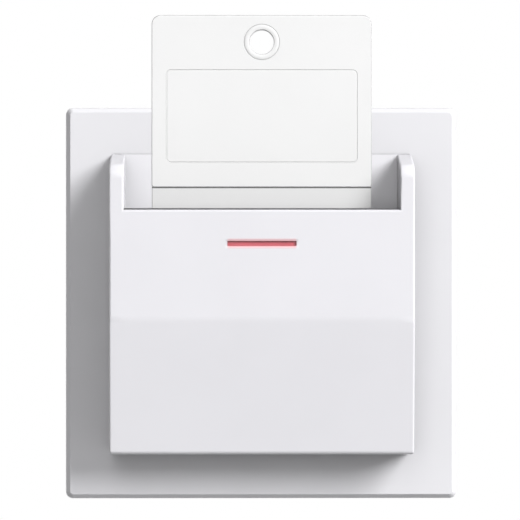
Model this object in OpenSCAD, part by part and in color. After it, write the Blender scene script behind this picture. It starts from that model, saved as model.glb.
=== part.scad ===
// Hotel key card switch: a square wall frame, a card pocket with a red indicator,
// a key tag, and the insert with its sprung carriage and double-break contact.
// Millimetres. +Z is up, the front faces -Y, and the wall surface is the plane Y = 0.

/* [Frame] */
// Side of the square frame at the wall
frame_size = 81; // [79:0.5:90]
// Height of the frame's face over the wall
frame_depth = 8.5; // [8:0.1:10]
// How far the sides lean in from the foot to the bevel
frame_draft = 0.4; // [0.2:0.1:0.8]
// Width of the bevel round the face
frame_bevel = 0.8; // [0.4:0.1:1.2]
// Depth of that bevel
frame_bevel_depth = 1.1; // [0.6:0.1:1.6]
// Corner radius at the foot
frame_corner = 2; // [2:0.1:4]
// Height of the upright band at the foot
frame_foot = 0.8; // [0.4:0.1:1.5]
// Thickness of the frame's side walls
frame_wall = 1.8; // [1.4:0.1:2.2]
// Thickness of the frame's face
frame_face = 2.2; // [1.6:0.1:2.6]
// Thickness of the collar round the window
collar_wall = 1.5; // [1.2:0.1:2]
// How far the lip behind the window reaches in
lip_width = 1.8; // [1.4:0.1:2.2]
// Thickness of that lip
lip_thickness = 1.8; // [1.4:0.1:1.9]
// Thickness of the ribs behind the face
rib_thickness = 1.2; // [0.8:0.1:1.6]
// Distance of the outer ribs from the middle of a side
rib_spread = 22; // [12:1:27]

/* [Card holder] */
// Width over the ears
holder_width = 61.5; // [60:0.5:63]
// Height from the lower edge to the tips of the ears
holder_height = 61.2; // [58:0.1:62]
// How far the front plane stands out from the frame's face
holder_projection = 12.5; // [12:0.1:15]
// Thickness of the side walls and ears
side_wall = 2.7; // [2.2:0.1:3.2]
// Thickness of the front wall and the floor
front_wall = 2.2; // [1.8:0.1:2.4]
// Height of the front wall
front_height = 49.7; // [46:0.1:52]
// Fall of the ears' tips towards the front, in degrees
ear_slope = 12; // [4:1:18]
// Radius at the front of the ears' tips
ear_round = 3; // [1.5:0.1:5]
// Height of the fold in the front, over the lower edge
fold_height = 27.5; // [22:0.1:32]
// How far the part below the fold leans back, in degrees
fold_tilt = 6; // [4:0.5:9]
// Radius of the fold
fold_round = 12; // [4:1:20]
// Bevel along the outer edges
edge_break = 0.5; // [0.2:0.1:0.8]
// Width of the indicator slit
slit_width = 14.4; // [8:0.1:18]
// Height of the indicator slit
slit_height = 1.46; // [1:0.02:3]
// Middle of the slit, below the front wall's upper edge
slit_drop = 6.6; // [5:0.1:9]
// How far the lens lies back in the slit
lens_recess = 0.4; // [0.2:0.1:1]
// Width of the lens's rim behind the wall
lens_rim = 1.3; // [0.8:0.1:2]
// Thickness of that rim
lens_rim_thickness = 1; // [0.6:0.1:1.2]
// Radius of the screw posts in the holder
post_radius = 2.4; // [2:0.1:2.8]
// Middle of the upper screw posts, below the front wall's upper edge
post_drop = 6; // [4:0.5:9]

/* [Key tag] */
// Width of the tag
card_width = 45; // [40:0.5:46]
// Length of the thin blade
blade_length = 41; // [38:0.5:46]
// Length of the thick handle
handle_length = 35; // [32:0.5:45]
// Thickness of the blade
blade_thickness = 0.8; // [0.6:0.1:1.4]
// Thickness of the handle
handle_thickness = 2; // [1.8:0.1:2.4]
// Corner radius of the tag
card_corner = 1.8; // [1:0.1:3]
// Diameter of the key ring hole
ring_hole = 5; // [4:0.1:5.5]
// Width of the raised rim round the hole
ring_rim = 1.1; // [0.6:0.1:1.4]
// Height of that rim over the faces
ring_raise = 0.25; // [0.1:0.05:0.4]
// Middle of the hole, below the upper edge
ring_drop = 5.5; // [5:0.1:7]
// Width of the label
label_width = 38.6; // [30:0.1:39]
// Height of the label
label_height = 18.6; // [12:0.1:20]
// Middle of the label, below the upper edge
label_drop = 20.4; // [19:0.1:22]
// Corner radius of the label
label_corner = 0.8; // [0.3:0.1:1.5]
// Thickness of the label
label_thickness = 0.35; // [0.2:0.05:0.5]
// Groove left round the label
label_gap = 0.15; // [0.1:0.05:0.3]

/* [Pocket] */
// Thickness of the back plate
plate_thickness = 1.8; // [1.4:0.1:2]
// Depth of the tray that the back plate closes
tray_depth = 4.5; // [4:0.1:4.7]
// Thickness of the tray's skirt
tray_wall = 1.6; // [1.2:0.1:2]
// Middle of the card, behind the holder's front plane
card_inset = 6.4; // [6:0.1:6.8]
// Distance of the guide ribs from the middle
guide_spread = 17; // [15:0.5:19]
// Thickness of the guide ribs
guide_thickness = 1.2; // [0.8:0.1:1.6]
// Thickness of the rails beside the carriage
rail_thickness = 1.2; // [0.8:0.1:1.4]
// Thickness of the shelves under the springs
shelf_thickness = 1.5; // [1:0.1:2]
// Length of the carriage springs with the card in
spring_length = 6.3; // [5.6:0.1:7]
// Distance of the carriage springs from the middle
spring_spread = 16; // [13:0.5:18]
// Distance of their axes from the back plate
spring_standoff = 3.1; // [2.9:0.1:3.3]
// Mean radius of the carriage springs
spring_radius = 2.1; // [1.9:0.1:2.3]
// Radius of all spring wires
wire_radius = 0.25; // [0.2:0.01:0.28]
// Width of the grip leaves
leaf_width = 5; // [3:0.5:6]
// Thickness of the grip leaves
leaf_thickness = 0.35; // [0.2:0.05:0.5]
// Distance of the grip leaves from the middle
leaf_spread = 11; // [8:0.5:12]
// Length of the leaves' bow
leaf_bow = 12; // [9:0.5:13]
// Length of the leaves' foot
leaf_foot = 4.5; // [4:0.5:6]

/* [Carriage and cam] */
// Travel of the carriage
carriage_travel = 8; // [6:0.5:8.5]
// Thickness of the carriage's ledge
ledge_thickness = 3; // [2:0.1:4]
// Half the width of the ledge
ledge_reach = 24.1; // [23:0.1:24.5]
// Half the width of the carriage's back web
web_reach = 8; // [6:0.5:9]
// Thickness of the web
web_thickness = 1.8; // [1.4:0.1:2.2]
// Width of the neck that runs into the insert
neck_width = 7.4; // [5:0.1:8]
// Height of the neck
neck_height = 6; // [4:0.5:7]
// Height of the cam follower over the lower side of the insert
follower_rise = 13; // [12:0.5:14]
// Rise of the cam for each millimetre of travel
cam_slope = 0.25; // [0.2:0.01:0.27]
// Depth of the cam's slope behind the wall, at the follower
cam_depth = 4; // [3.5:0.1:4.5]
// Radius of the cam pin
pin_radius = 0.8; // [0.6:0.1:1]

/* [Insert] */
// Thickness of the steel strap
strap_thickness = 1; // [0.8:0.1:1.2]
// Room between the strap and the frame's walls
strap_room = 1.8; // [1:0.1:2.2]
// Diameter of the circle of the wall screws
screw_circle = 60; // [59:0.5:61]
// Diameter of the wall screw holes
screw_hole = 4.2; // [3.6:0.1:4.6]
// Side of the insert's box
housing_size = 44; // [43:0.5:45]
// Diameter that the box's corners are turned down to
housing_circle = 56; // [55:0.5:58]
// Depth of the box behind the wall
housing_depth = 24; // [23:0.5:32]
// Thickness of the box's walls
housing_wall = 2; // [1.4:0.1:2.2]
// How far the flange reaches past the box
flange_reach = 4.5; // [4:0.1:5]
// Thickness of the flange
flange_thickness = 1.6; // [1.2:0.1:1.8]
// Thickness of the lid
lid_thickness = 2; // [1.7:0.1:2.2]
// How far the lid's edge overhangs its plug
lid_overhang = 1.3; // [1:0.1:1.5]
// Thickness of the lid's edge
lid_edge = 1.2; // [0.9:0.1:1.2]

/* [Contacts and terminals] */
// Half the width of the contact carrier
carrier_reach = 6.5; // [5.5:0.1:7]
// Half the height of the contact carrier
carrier_half_height = 4; // [3.6:0.1:4.2]
// Length of the contact carrier behind its nose
carrier_length = 8.5; // [8:0.1:9]
// Radius of the carrier's nose
nose_radius = 1.5; // [1.2:0.1:1.8]
// Distance of the contact tips from the middle
tip_spread = 11; // [10:0.1:12]
// Radius of the contact tips
tip_radius = 1.6; // [1.2:0.1:2]
// Height of a contact tip
tip_height = 1; // [0.8:0.1:1.2]
// Thickness of the contact strips
strip_thickness = 0.8; // [0.6:0.1:1]
// Width of the contact strips
strip_width = 5; // [4:0.1:5.2]
// Distance of the outer terminals from the middle
terminal_spread = 13; // [12:0.1:13.4]
// Height of the terminals' floor over the middle of the insert
terminal_height = 9.2; // [8.5:0.1:9.6]
// Outer width of a terminal clamp
clamp_width = 7.5; // [7:0.1:7.9]
// Outer height of a terminal clamp
clamp_height = 8; // [7.5:0.1:8.4]
// Length of a terminal clamp
clamp_length = 6; // [5:0.1:6.5]
// Wall of a terminal clamp
clamp_wall = 1; // [0.8:0.1:1.2]
// Side of the square wire entries
wire_entry = 3.8; // [3:0.1:4]
// Length of the carrier's return spring with the card in
return_length = 8; // [7.5:0.1:8.5]
// Mean radius of the return spring
return_radius = 3; // [2.8:0.1:3.4]

/* [Fits] */
// Gap between pieces that slide on each other
slide_gap = 0.3; // [0.2:0.05:0.35]
// Gap between faces that rest on each other but part in use
rest_gap = 0.1; // [0.05:0.05:0.15]
// Gap round screws, pins and pegs in their holes
pin_gap = 0.1; // [0.05:0.05:0.15]
// Gap between the tray and the frame's window
window_gap = 0.3; // [0.2:0.05:0.5]

/* [Hidden] */
$fn = 48;
// Small overlap that makes joined solids one
weld = 0.2;
// Reach of a cut past the faces that it goes through
past = 1;

// Depths, from the front to the back of the insert
y_face = -frame_depth;
y_front = y_face - holder_projection;
y_front_inside = y_front + front_wall;
y_card = y_front + card_inset;
y_plate_back = y_face + plate_thickness;
y_lip = y_face + tray_depth;
y_lip_back = y_lip + lip_thickness;
y_strap = -strap_thickness;
y_flange = y_strap - flange_thickness;
y_lid = y_flange - lid_thickness;
y_cam_front = y_flange + slide_gap;

// Heights of the holder
z_bottom = -holder_height / 2;
z_tip = holder_height / 2;
z_floor = z_bottom + front_wall;
z_mouth = z_bottom + front_height;
z_fold = z_bottom + fold_height;
z_slit = z_mouth - slit_drop;
pocket_reach = holder_width / 2 - side_wall;
lens_corner = 0.6;

// Heights of the carriage and the card that stands on it
z_shelf = z_floor + slide_gap + shelf_thickness;
z_ledge = z_shelf + spring_length;
z_card = z_ledge + ledge_thickness + rest_gap;
card_length = blade_length + handle_length;
z_card_top = z_card + card_length;
z_step = z_card_top - handle_length;
guide_foot = 2;
z_guide = z_ledge + ledge_thickness + carriage_travel + guide_foot;
card_half = handle_thickness / 2;
backstop_thickness = 1;
backstop_height = 1.5;
gusset_thickness = 1.2;
gusset_depth = 1.6;

// Guides' lead-in
lead_low = 4;
lead_high = 1.5;
z_lead = z_mouth - lead_low;
z_lead_top = z_mouth - lead_high;

// Spring seats and coils
y_spring = y_face - spring_standoff;
shelf_margin = 1;
peg_room = 0.4;
y_shelf = y_spring - spring_radius - wire_radius - rest_gap;
shelf_half = spring_radius + wire_radius + shelf_margin;
spring_peg_radius = spring_radius - wire_radius - peg_room;
spring_peg_height = 1.6;
carriage_turns = 5;
return_turns = 6;
bridge_turns = 3;
bridge_spring_radius = 1.6;
coil_end_gap = 0.05;
rings_per_turn = 8;
tube_sides = 6;

// Frame
side_size = frame_size - 2 * frame_draft;
face_size = side_size - 2 * frame_bevel;
least_corner = 0.4;
side_corner = max(frame_corner - frame_draft, least_corner);
face_corner = max(side_corner - frame_bevel, least_corner);
hollow_size = face_size - 2 * frame_wall;
window_width = holder_width + 2 * window_gap;
window_height = holder_height + 2 * window_gap;
window_corner = 0.8;
y_hollow = y_face + frame_face;

// Cam and contact carrier
follower_z = follower_rise - housing_size / 2;
cam_angle = atan(cam_slope);
cam_below = carriage_travel + nose_radius;
cam_above = nose_radius;
cam_side = 0.2;
cam_reach = neck_width / 2 - cam_side;
neck_drop = 3.5;
neck_top = follower_z - neck_drop;
neck_bottom = neck_top - neck_height;
neck_cheek = 2.2;
tongue_reach = neck_width / 2 - neck_cheek;
tongue_length = 3;
pin_y = y_cam_front + tongue_length / 2;
pin_z = (neck_top + neck_bottom) / 2;
nose_y = cam_depth + (nose_radius + rest_gap) * cos(cam_angle);
nose_z = follower_z - (nose_radius + rest_gap) * sin(cam_angle);
y_carrier_back = nose_y + carrier_length;
carrier_guide_setback = 1;
bridge_wall = 1.1;
y_bridge_back = y_carrier_back - bridge_wall;
y_bridge = y_bridge_back - strip_thickness;
bridge_room = 3.6;
stem_radius = 1.4;
stem_room = 1;
stem_boss_length = 5;
stem_boss_radius = return_radius - wire_radius - slide_gap;
y_bridge_window = y_bridge - bridge_room;
window_half = 2.3;
y_fixed = y_bridge_back + 2 * tip_height + rest_gap / 2;

// Insert
strap_size = hollow_size - 2 * strap_room;
strap_corner = 4;
slot_half = 3;
slot_half_width = 1.6;
slot_shift = 3;
y_box_inside = y_carrier_back + return_length;
y_box_back = max(housing_depth, y_box_inside + housing_wall);
box_inside = housing_size - 2 * housing_wall;
lid_extra = 1;
lid_size = housing_size + lid_extra;
lid_plug = lid_size - 2 * lid_overhang;
flange_size = housing_size + 2 * flange_reach;
flange_corner = 3;
lid_screw_inset = 2.5;
lid_screw_spread = housing_circle / 2 * sin(45) - lid_screw_inset;
lid_screw_radius = 1.2;
lid_screw_head = 2.1;
lid_screw_sink = 1.3;
lid_screw_length = 7.5;
lid_post_wall = 0.5;
lid_post_radius = lid_screw_head + lid_post_wall;
lid_post_length = 9;
lid_post_floor = 1;
flange_screw_shift = 0.2;
flange_screw_x = housing_size / 2 + flange_reach / 2 + flange_screw_shift;
flange_screw_z = 14;
flange_screw_radius = 1.2;
flange_screw_head = 1.9;
flange_screw_sink = 1.1;
hook_x = lid_size / 2 + slide_gap;
hook_thickness = 1.2;
hook_width = 5;
hook_z = 6;
hook_barb = lid_overhang - slide_gap;

// Terminals
terminal_x = [-terminal_spread, 0, terminal_spread];
clamp_inside = clamp_width - 2 * clamp_wall;
z_tab = terminal_height + clamp_wall;
y_clamp = y_fixed - clamp_length / 2;
riser_gap = 0.8;
y_riser = y_clamp + clamp_length + riser_gap;
clamp_mid_y = y_clamp + clamp_length / 2;
terminal_screw_radius = 1.5;
terminal_screw_head = 2.3;
z_clamp_top = terminal_height + clamp_height;
entry_lift = 0.2;
z_entry = z_tab + strip_thickness + wire_entry / 2 + entry_lift;
strip_drop = 2.7;
seat_thickness = 1.2;
z_seat = terminal_height - seat_thickness;
seat_setback = 0.5;
y_seat = y_clamp + seat_setback;
tab_half = clamp_inside / 2 - slide_gap;
tab_reach = 1;
z_tab_top = z_tab + strip_thickness;
wire_room = 2.4;
screw_stand = 1.6;
z_screw_tip = z_tab_top + wire_room;
z_screw_head = z_clamp_top + screw_stand;
screw_head_height = 1.8;
screw_slot_depth = 0.9;
screw_slot_half = 0.35;

// Lamp
board_half = 9;
board_height = 9;
board_thickness = 1;
z_board = z_slit - board_height / 2;
lamp_radius = 1.5;
lamp_length = 3.4;
peg_radius = 0.8;
peg_spread = 6.5;
y_board_back = y_plate_back + board_thickness;
peg_stick = 0.6;
y_peg_end = y_board_back + peg_stick;
resistor_radius = 0.5;
resistor_length = 5.2;
resistor_drop = 1.8;
lamp_pin_radius = 0.4;
lamp_pin_spread = 3.5;
lamp_pin_lift = 1.5;
z_lamp_pin = z_board + lamp_pin_lift;
y_pin_end = 2.2;
flap_drop = 1.5;

// Crossed slots of the screws
cross_share = 1.2;
cross_depth = 0.6;
cross_width = 0.4;

// Holder screws
post_x = pocket_reach - post_radius + weld;
post_z = [z_floor + post_radius - weld, z_mouth - post_drop];
y_post = y_card + card_half + slide_gap;
post_screw_radius = 1;
post_screw_head = 2;
post_screw_sink = 1.2;
post_screw_length = 5.4;

// Leaves
leaf_lift = 7.5;
z_leaf = z_guide + leaf_lift;
z_rivet = z_leaf + leaf_foot / 2;
leaf_sweep = 252;
leaf_steps = 14;
leaf_rise = y_face - leaf_thickness - (y_card + blade_thickness / 2) - rest_gap;
rivet_radius = 0.9;
rivet_head = 1.6;
rivet_head_height = 0.5;
rivet_bury = rivet_head_height / 2;

// Outline in the X-Z plane carried from one depth to another
module from_front(y0, y1) {
  translate([0, y1, 0])
    rotate([90, 0, 0])
      linear_extrude(y1 - y0)
        children();
}

// Outline in the Y-Z plane carried from one side to the other
module from_side(x0, x1) {
  translate([x0, 0, 0])
    rotate([90, 0, 90])
      linear_extrude(x1 - x0)
        children();
}

// Box between two corners
module block(low, high) {
  translate(low)
    cube(high - low);
}

// Round bar along Y
module rod_y(x, z, radius, y0, y1) {
  translate([x, y1, z])
    rotate([90, 0, 0])
      cylinder(r = radius, h = y1 - y0);
}

// Round bar along Z
module rod_z(x, y, radius, z0, z1) {
  translate([x, y, z0])
    cylinder(r = radius, h = z1 - z0);
}

// Rectangle about the origin with round corners
module rounded(width, height, radius) {
  square([width - 2 * radius, height], center = true);
  square([width, height - 2 * radius], center = true);
  for (x = [-1, 1], z = [-1, 1])
    translate([x * (width / 2 - radius), z * (height / 2 - radius)])
      circle(radius);
}

// The same shape on the left and on the right
module both_sides() {
  children();
  mirror([1, 0, 0]) children();
}

// Points along an arc in the Y-Z plane
function arc(y, z, radius, from, to, steps = 8) = [
  for (i = [0:steps])
    let (a = from + (to - from) * i / steps)
      [y + radius * cos(a), z + radius * sin(a)]
];

// Depth of the holder's front at a height below the fold
function front_at(z) = y_front + (z_fold - z) * tan(fold_tilt);

// Front edge of the holder's outline, from the floor to above the fold
function folded_front(inset) =
  let (
    low = z_bottom + inset,
    bend = fold_round - inset,
    tangent = fold_round * tan(fold_tilt / 2)
  ) concat(
    [[front_at(low) + inset + edge_break, low]],
    [[front_at(low + edge_break) + inset, low + edge_break]],
    arc(y_front + fold_round, z_fold + tangent, bend, 180 + fold_tilt, 180, 4)
  );

// Outline of a side wall with its ear, drawn in by an inset
function ear_outline(inset) =
  let (
    bend = max(ear_round - inset, edge_break),
    tip = z_tip - inset,
    mid_y = y_front + inset + bend,
    mid_z = tip - (y_face - mid_y + bend * sin(ear_slope)) * tan(ear_slope) - bend * cos(ear_slope)
  ) concat(
    [[y_face, z_bottom + inset]],
    folded_front(inset),
    arc(mid_y, mid_z, bend, 180, 90 + ear_slope),
    [[y_face, tip]]
  );

// Outline of the front wall and the floor in one
function wall_outline() = concat(
  [[y_face, z_bottom]],
  folded_front(0),
  arc(y_front + edge_break, z_mouth - edge_break, edge_break, 180, 90, 4),
  arc(y_front_inside - edge_break, z_mouth - edge_break, edge_break, 90, 0, 4),
  [
    [y_front_inside, z_fold],
    [front_at(z_floor) + front_wall, z_floor],
    [y_face, z_floor]
  ]
);

// Square hollow frame with a bevelled edge, a collar round its window and ribs behind its face
module cover_frame() {
  color("white") {
    difference() {
      hull() {
        from_front(-frame_foot, 0)
          rounded(frame_size, frame_size, frame_corner, $fn = 32);
        from_front(y_face + frame_bevel_depth, -frame_foot)
          rounded(side_size, side_size, side_corner, $fn = 32);
        from_front(y_face, y_face + frame_bevel_depth)
          rounded(face_size, face_size, face_corner, $fn = 32);
      }
      from_front(y_hollow, past)
        square(hollow_size, center = true);
      from_front(y_face - past, past)
        rounded(window_width, window_height, window_corner);
    }
    difference() {
      from_front(y_hollow - weld, y_lip_back)
        rounded(window_width + 2 * collar_wall, window_height + 2 * collar_wall, window_corner);
      from_front(y_face - past, y_lip)
        rounded(window_width, window_height, window_corner);
      from_front(y_face - past, past)
        rounded(window_width - 2 * lip_width, window_height - 2 * lip_width, window_corner);
    }
    for (turn = [0, 90, 180, 270], offset = [-rib_spread, 0, rib_spread])
      rotate([0, turn, 0])
        frame_rib(offset, turn % 180 == 0 ? window_height : window_width);
  }
}

// One rib between the collar and the side wall
module frame_rib(offset, window) {
  block(
    [offset - rib_thickness / 2, y_hollow - weld, window / 2 + collar_wall - weld],
    [offset + rib_thickness / 2, y_lip_back, hollow_size / 2 + weld]
  );
}

// Front of the pocket: a folded front wall and floor between two eared side walls
module card_holder() {
  color("whitesmoke")
    difference() {
      union() {
        from_side(-pocket_reach - weld, pocket_reach + weld)
          polygon(wall_outline());
        both_sides() {
          hull() {
            from_side(pocket_reach, holder_width / 2 - edge_break)
              polygon(ear_outline(0));
            from_side(holder_width / 2 - edge_break, holder_width / 2)
              polygon(ear_outline(edge_break));
          }
          front_guide();
          for (z = post_z)
            rod_y(post_x, z, post_radius, y_post, y_face);
        }
      }
      block(
        [-slit_width / 2, y_front - past, z_slit - slit_height / 2],
        [slit_width / 2, y_front_inside + past, z_slit + slit_height / 2]
      );
      both_sides()
        for (z = post_z)
          rod_y(post_x, z, post_screw_radius + pin_gap, y_post - past, y_face + past);
    }
}

// Guide rib on the inside of the front wall, with a lead-in for the card
module front_guide() {
  y_guide = y_card - card_half - slide_gap;
  from_side(guide_spread - guide_thickness / 2, guide_spread + guide_thickness / 2)
    polygon([
      [y_front_inside - weld, z_guide],
      [y_guide, z_guide],
      [y_guide, z_lead],
      [y_front_inside - weld, z_lead_top]
    ]);
}

// Back of the pocket: a tray that fills the frame's window and carries the guides, shelves and hooks
module pocket_back() {
  color("white")
    difference() {
      union() {
        difference() {
          from_front(y_face, y_lip)
            rounded(holder_width, holder_height, window_corner);
          from_front(y_plate_back, y_lip + past)
            square([holder_width - 2 * tray_wall, holder_height - 2 * tray_wall], center = true);
        }
        both_sides() {
          rear_guide();
          carriage_rail();
          spring_shelf();
          for (z = [-hook_z, hook_z])
            snap_hook(z);
          rod_y(peg_spread, z_slit, peg_radius, y_plate_back - weld, y_peg_end);
        }
      }
      block(
        [-neck_width / 2 - slide_gap, y_face - past, neck_bottom - slide_gap],
        [neck_width / 2 + slide_gap, y_plate_back + past, neck_top + carriage_travel + slide_gap]
      );
      rod_y(0, z_slit, lamp_radius + slide_gap, y_face - past, y_plate_back + past);
      both_sides() {
        for (z = post_z)
          rod_y(post_x, z, post_screw_radius + pin_gap, y_face - past, y_plate_back + past);
        rod_y(leaf_spread, z_rivet, rivet_radius + pin_gap, y_face - past, y_plate_back + past);
      }
    }
}

// Guide rib behind the card, with a lead-in at its upper end
module rear_guide() {
  y_guide = y_card + card_half + slide_gap;
  from_side(guide_spread - guide_thickness / 2, guide_spread + guide_thickness / 2)
    polygon([
      [y_face + weld, z_guide],
      [y_guide, z_guide],
      [y_guide, z_lead],
      [y_face + weld, z_lead_top]
    ]);
}

// Upright rail beside the end of the carriage's ledge
module carriage_rail() {
  block(
    [ledge_reach + slide_gap, y_card + card_half, z_ledge - slide_gap],
    [ledge_reach + slide_gap + rail_thickness, y_face + weld, z_guide]
  );
}

// Shelf with a peg for a carriage spring
module spring_shelf() {
  block(
    [spring_spread - shelf_half, y_shelf, z_shelf - shelf_thickness],
    [spring_spread + shelf_half, y_face + weld, z_shelf]
  );
  rod_z(spring_spread, y_spring, spring_peg_radius, z_shelf - weld, z_shelf + spring_peg_height);
}

// Hook that snaps behind the edge of the insert's lid
module snap_hook(z) {
  y_tip = y_flange - rest_gap;
  block(
    [hook_x, y_plate_back - weld, z - hook_width / 2],
    [hook_x + hook_thickness, y_tip, z + hook_width / 2]
  );
  translate([0, 0, z - hook_width / 2])
    linear_extrude(hook_width)
      polygon([
        [hook_x + weld, y_lid + lid_edge + rest_gap],
        [hook_x - hook_barb, y_lid + lid_edge + rest_gap],
        [hook_x, y_tip],
        [hook_x + weld, y_tip]
      ]);
}

// Red lens: a bar in the slit with a rim behind the wall
module indicator_lens() {
  color("crimson") {
    block(
      [-slit_width / 2 + pin_gap, y_front + lens_recess, z_slit - slit_height / 2 + pin_gap],
      [slit_width / 2 - pin_gap, y_front_inside + weld, z_slit + slit_height / 2 - pin_gap]
    );
    from_front(y_front_inside, y_front_inside + lens_rim_thickness)
      translate([0, z_slit])
        rounded(slit_width + 2 * lens_rim, slit_height + 2 * lens_rim, lens_corner);
  }
}

// Screws that hold the pocket's front to its back, put in from behind
module holder_screws() {
  color("silver")
    both_sides()
      for (z = post_z)
        pan_screw(
          post_x, z, y_plate_back, post_screw_head,
          post_screw_sink, post_screw_radius, post_screw_length
        );
}

// Pan head screw along Y, with its head behind the seat and its shank towards the front
module pan_screw(x, z, y_seat, head, sink, shank, length) {
  difference() {
    union() {
      rod_y(x, z, head, y_seat, y_seat + sink);
      rod_y(x, z, shank, y_seat - length, y_seat + sink / 2);
    }
    cross_slot(x, z, y_seat + sink, head);
  }
}

// Crossed slot in a screw's head, cut from its outer face
module cross_slot(x, z, y_top, head) {
  for (turn = [0, 90])
    translate([x, y_top, z])
      rotate([0, turn, 0])
        cube([head * cross_share, 2 * cross_depth, cross_width], center = true);
}

// Points of a leaf's bow between its foot and its free end, shifted square to the leaf
function bow(t, shift) =
  let (
    out = -leaf_rise / 2 * sin(leaf_sweep * t) * leaf_sweep * PI / 180,
    long = norm([out, leaf_bow])
  ) [
    y_face - leaf_thickness / 2 - leaf_rise * (1 - cos(leaf_sweep * t)) / 2 - shift * leaf_bow / long,
    z_leaf + leaf_foot + leaf_bow * t + shift * out / long
  ];

// Two spring leaves that press on the back of the card
module card_grip_springs() {
  half = leaf_thickness / 2;
  color("lightsteelblue")
    both_sides()
      difference() {
        from_side(leaf_spread - leaf_width / 2, leaf_spread + leaf_width / 2)
          polygon(concat(
            [[y_face, z_leaf], [y_face - leaf_thickness, z_leaf]],
            [for (i = [0:leaf_steps]) bow(i / leaf_steps, half)],
            [for (i = [leaf_steps:-1:0]) bow(i / leaf_steps, -half)]
          ));
        rod_y(leaf_spread, z_rivet, rivet_radius + pin_gap, y_face - leaf_thickness - past, y_face + past);
      }
}

// Rivets through the leaves' feet and the back plate
module grip_rivets() {
  y_leaf = y_face - leaf_thickness;
  color("silver")
    both_sides() {
      rod_y(leaf_spread, z_rivet, rivet_radius, y_leaf - rivet_bury, y_plate_back + rivet_bury);
      rod_y(leaf_spread, z_rivet, rivet_head, y_leaf - rivet_head_height, y_leaf);
      rod_y(leaf_spread, z_rivet, rivet_head, y_plate_back, y_plate_back + rivet_head_height);
    }
}

// Outline of the whole tag
module card_outline() {
  translate([0, z_card + card_length / 2])
    rounded(card_width, card_length, card_corner);
}

// Key tag: a thin blade, a thick handle, a ringed hole and a recess for the label
module key_card() {
  z_ring = z_card_top - ring_drop;
  ring_half = card_half + ring_raise;
  color("white")
    difference() {
      union() {
        from_front(y_card - blade_thickness / 2, y_card + blade_thickness / 2)
          card_outline();
        from_front(y_card - card_half, y_card + card_half)
          intersection() {
            card_outline();
            translate([-card_width, z_step])
              square([2 * card_width, card_length]);
          }
        rod_y(0, z_ring, ring_hole / 2 + ring_rim, y_card - ring_half, y_card + ring_half);
      }
      rod_y(0, z_ring, ring_hole / 2, y_card - card_half - past, y_card + card_half + past);
      from_front(y_card - card_half - past, y_card - card_half + label_thickness)
        translate([0, z_card_top - label_drop])
          rounded(label_width + 2 * label_gap, label_height + 2 * label_gap, label_corner + label_gap);
    }
}

// Write-on panel that lies flush in the handle
module card_label() {
  color("ivory")
    from_front(y_card - card_half, y_card - card_half + label_thickness)
      translate([0, z_card_top - label_drop])
        rounded(label_width, label_height, label_corner);
}

// Sprung sledge: a ledge under the card, a web behind it and a neck into the insert
module card_carriage() {
  y_back = y_face - slide_gap;
  z_top = z_ledge + ledge_thickness;
  z_web = max(neck_top, z_top);
  color("lightgray")
    difference() {
      union() {
        block([-ledge_reach, y_card - card_half, z_ledge], [ledge_reach, y_back, z_top]);
        block(
          [-card_width / 2, y_card + card_half, z_top - weld],
          [card_width / 2, y_card + card_half + backstop_thickness, z_top + backstop_height]
        );
        block(
          [-web_reach, y_back - web_thickness, min(z_ledge, neck_bottom)],
          [web_reach, y_back, z_web]
        );
        block(
          [-neck_width / 2, y_back - weld, neck_bottom],
          [neck_width / 2, y_cam_front, neck_top]
        );
        block(
          [-tongue_reach, y_cam_front - weld, neck_bottom],
          [tongue_reach, y_cam_front + tongue_length, neck_top]
        );
        both_sides() {
          rod_z(spring_spread, y_spring, spring_peg_radius, z_ledge - spring_peg_height, z_ledge + weld);
          carriage_gusset();
        }
      }
      translate([-past - tongue_reach, pin_y, pin_z])
        rotate([0, 90, 0])
          cylinder(r = pin_radius + pin_gap, h = 2 * (tongue_reach + past));
    }
}

// Gusset between the ledge and the web
module carriage_gusset() {
  y_back = y_face - slide_gap - web_thickness;
  z_top = z_ledge + ledge_thickness;
  from_side(web_reach - gusset_thickness, web_reach)
    polygon([
      [y_back + weld, z_top - weld],
      [y_back - gusset_depth, z_top - weld],
      [y_back - gusset_depth, z_top],
      [y_back + weld, max(neck_top, z_top + gusset_depth)]
    ]);
}

// Depth of the cam's slope at a height
function cam_at(z) = cam_depth + cam_slope * (z - follower_z);

// Wedge that pushes the contact carrier back as the card goes in
module switch_cam() {
  low = follower_z - cam_below;
  high = follower_z + cam_above;
  color("orange")
    difference() {
      from_side(-cam_reach, cam_reach)
        polygon([[y_cam_front, low], [cam_at(low), low], [cam_at(high), high], [y_cam_front, high]]);
      block(
        [-tongue_reach - pin_gap, y_cam_front - past, neck_bottom - pin_gap],
        [tongue_reach + pin_gap, y_cam_front + tongue_length + pin_gap, neck_top + pin_gap]
      );
      translate([-cam_reach - past, pin_y, pin_z])
        rotate([0, 90, 0])
          cylinder(r = pin_radius + pin_gap, h = 2 * (cam_reach + past));
    }
}

// Pin through the cam and the tongue of the carriage's neck
module cam_pin() {
  color("silver")
    translate([-cam_reach, pin_y, pin_z])
      rotate([0, 90, 0])
        cylinder(r = pin_radius, h = 2 * cam_reach);
}

// Points of one unbroken helical tube along Z
function coil_points(radius, turns, height) = [
  for (i = [0:turns * rings_per_turn], j = [0:tube_sides - 1])
    let (
      a = 360 * i / rings_per_turn,
      b = 360 * j / tube_sides,
      reach = radius + wire_radius * cos(b)
    )
      [reach * cos(a), reach * sin(a), height * i / (turns * rings_per_turn) + wire_radius * sin(b)]
];

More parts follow.
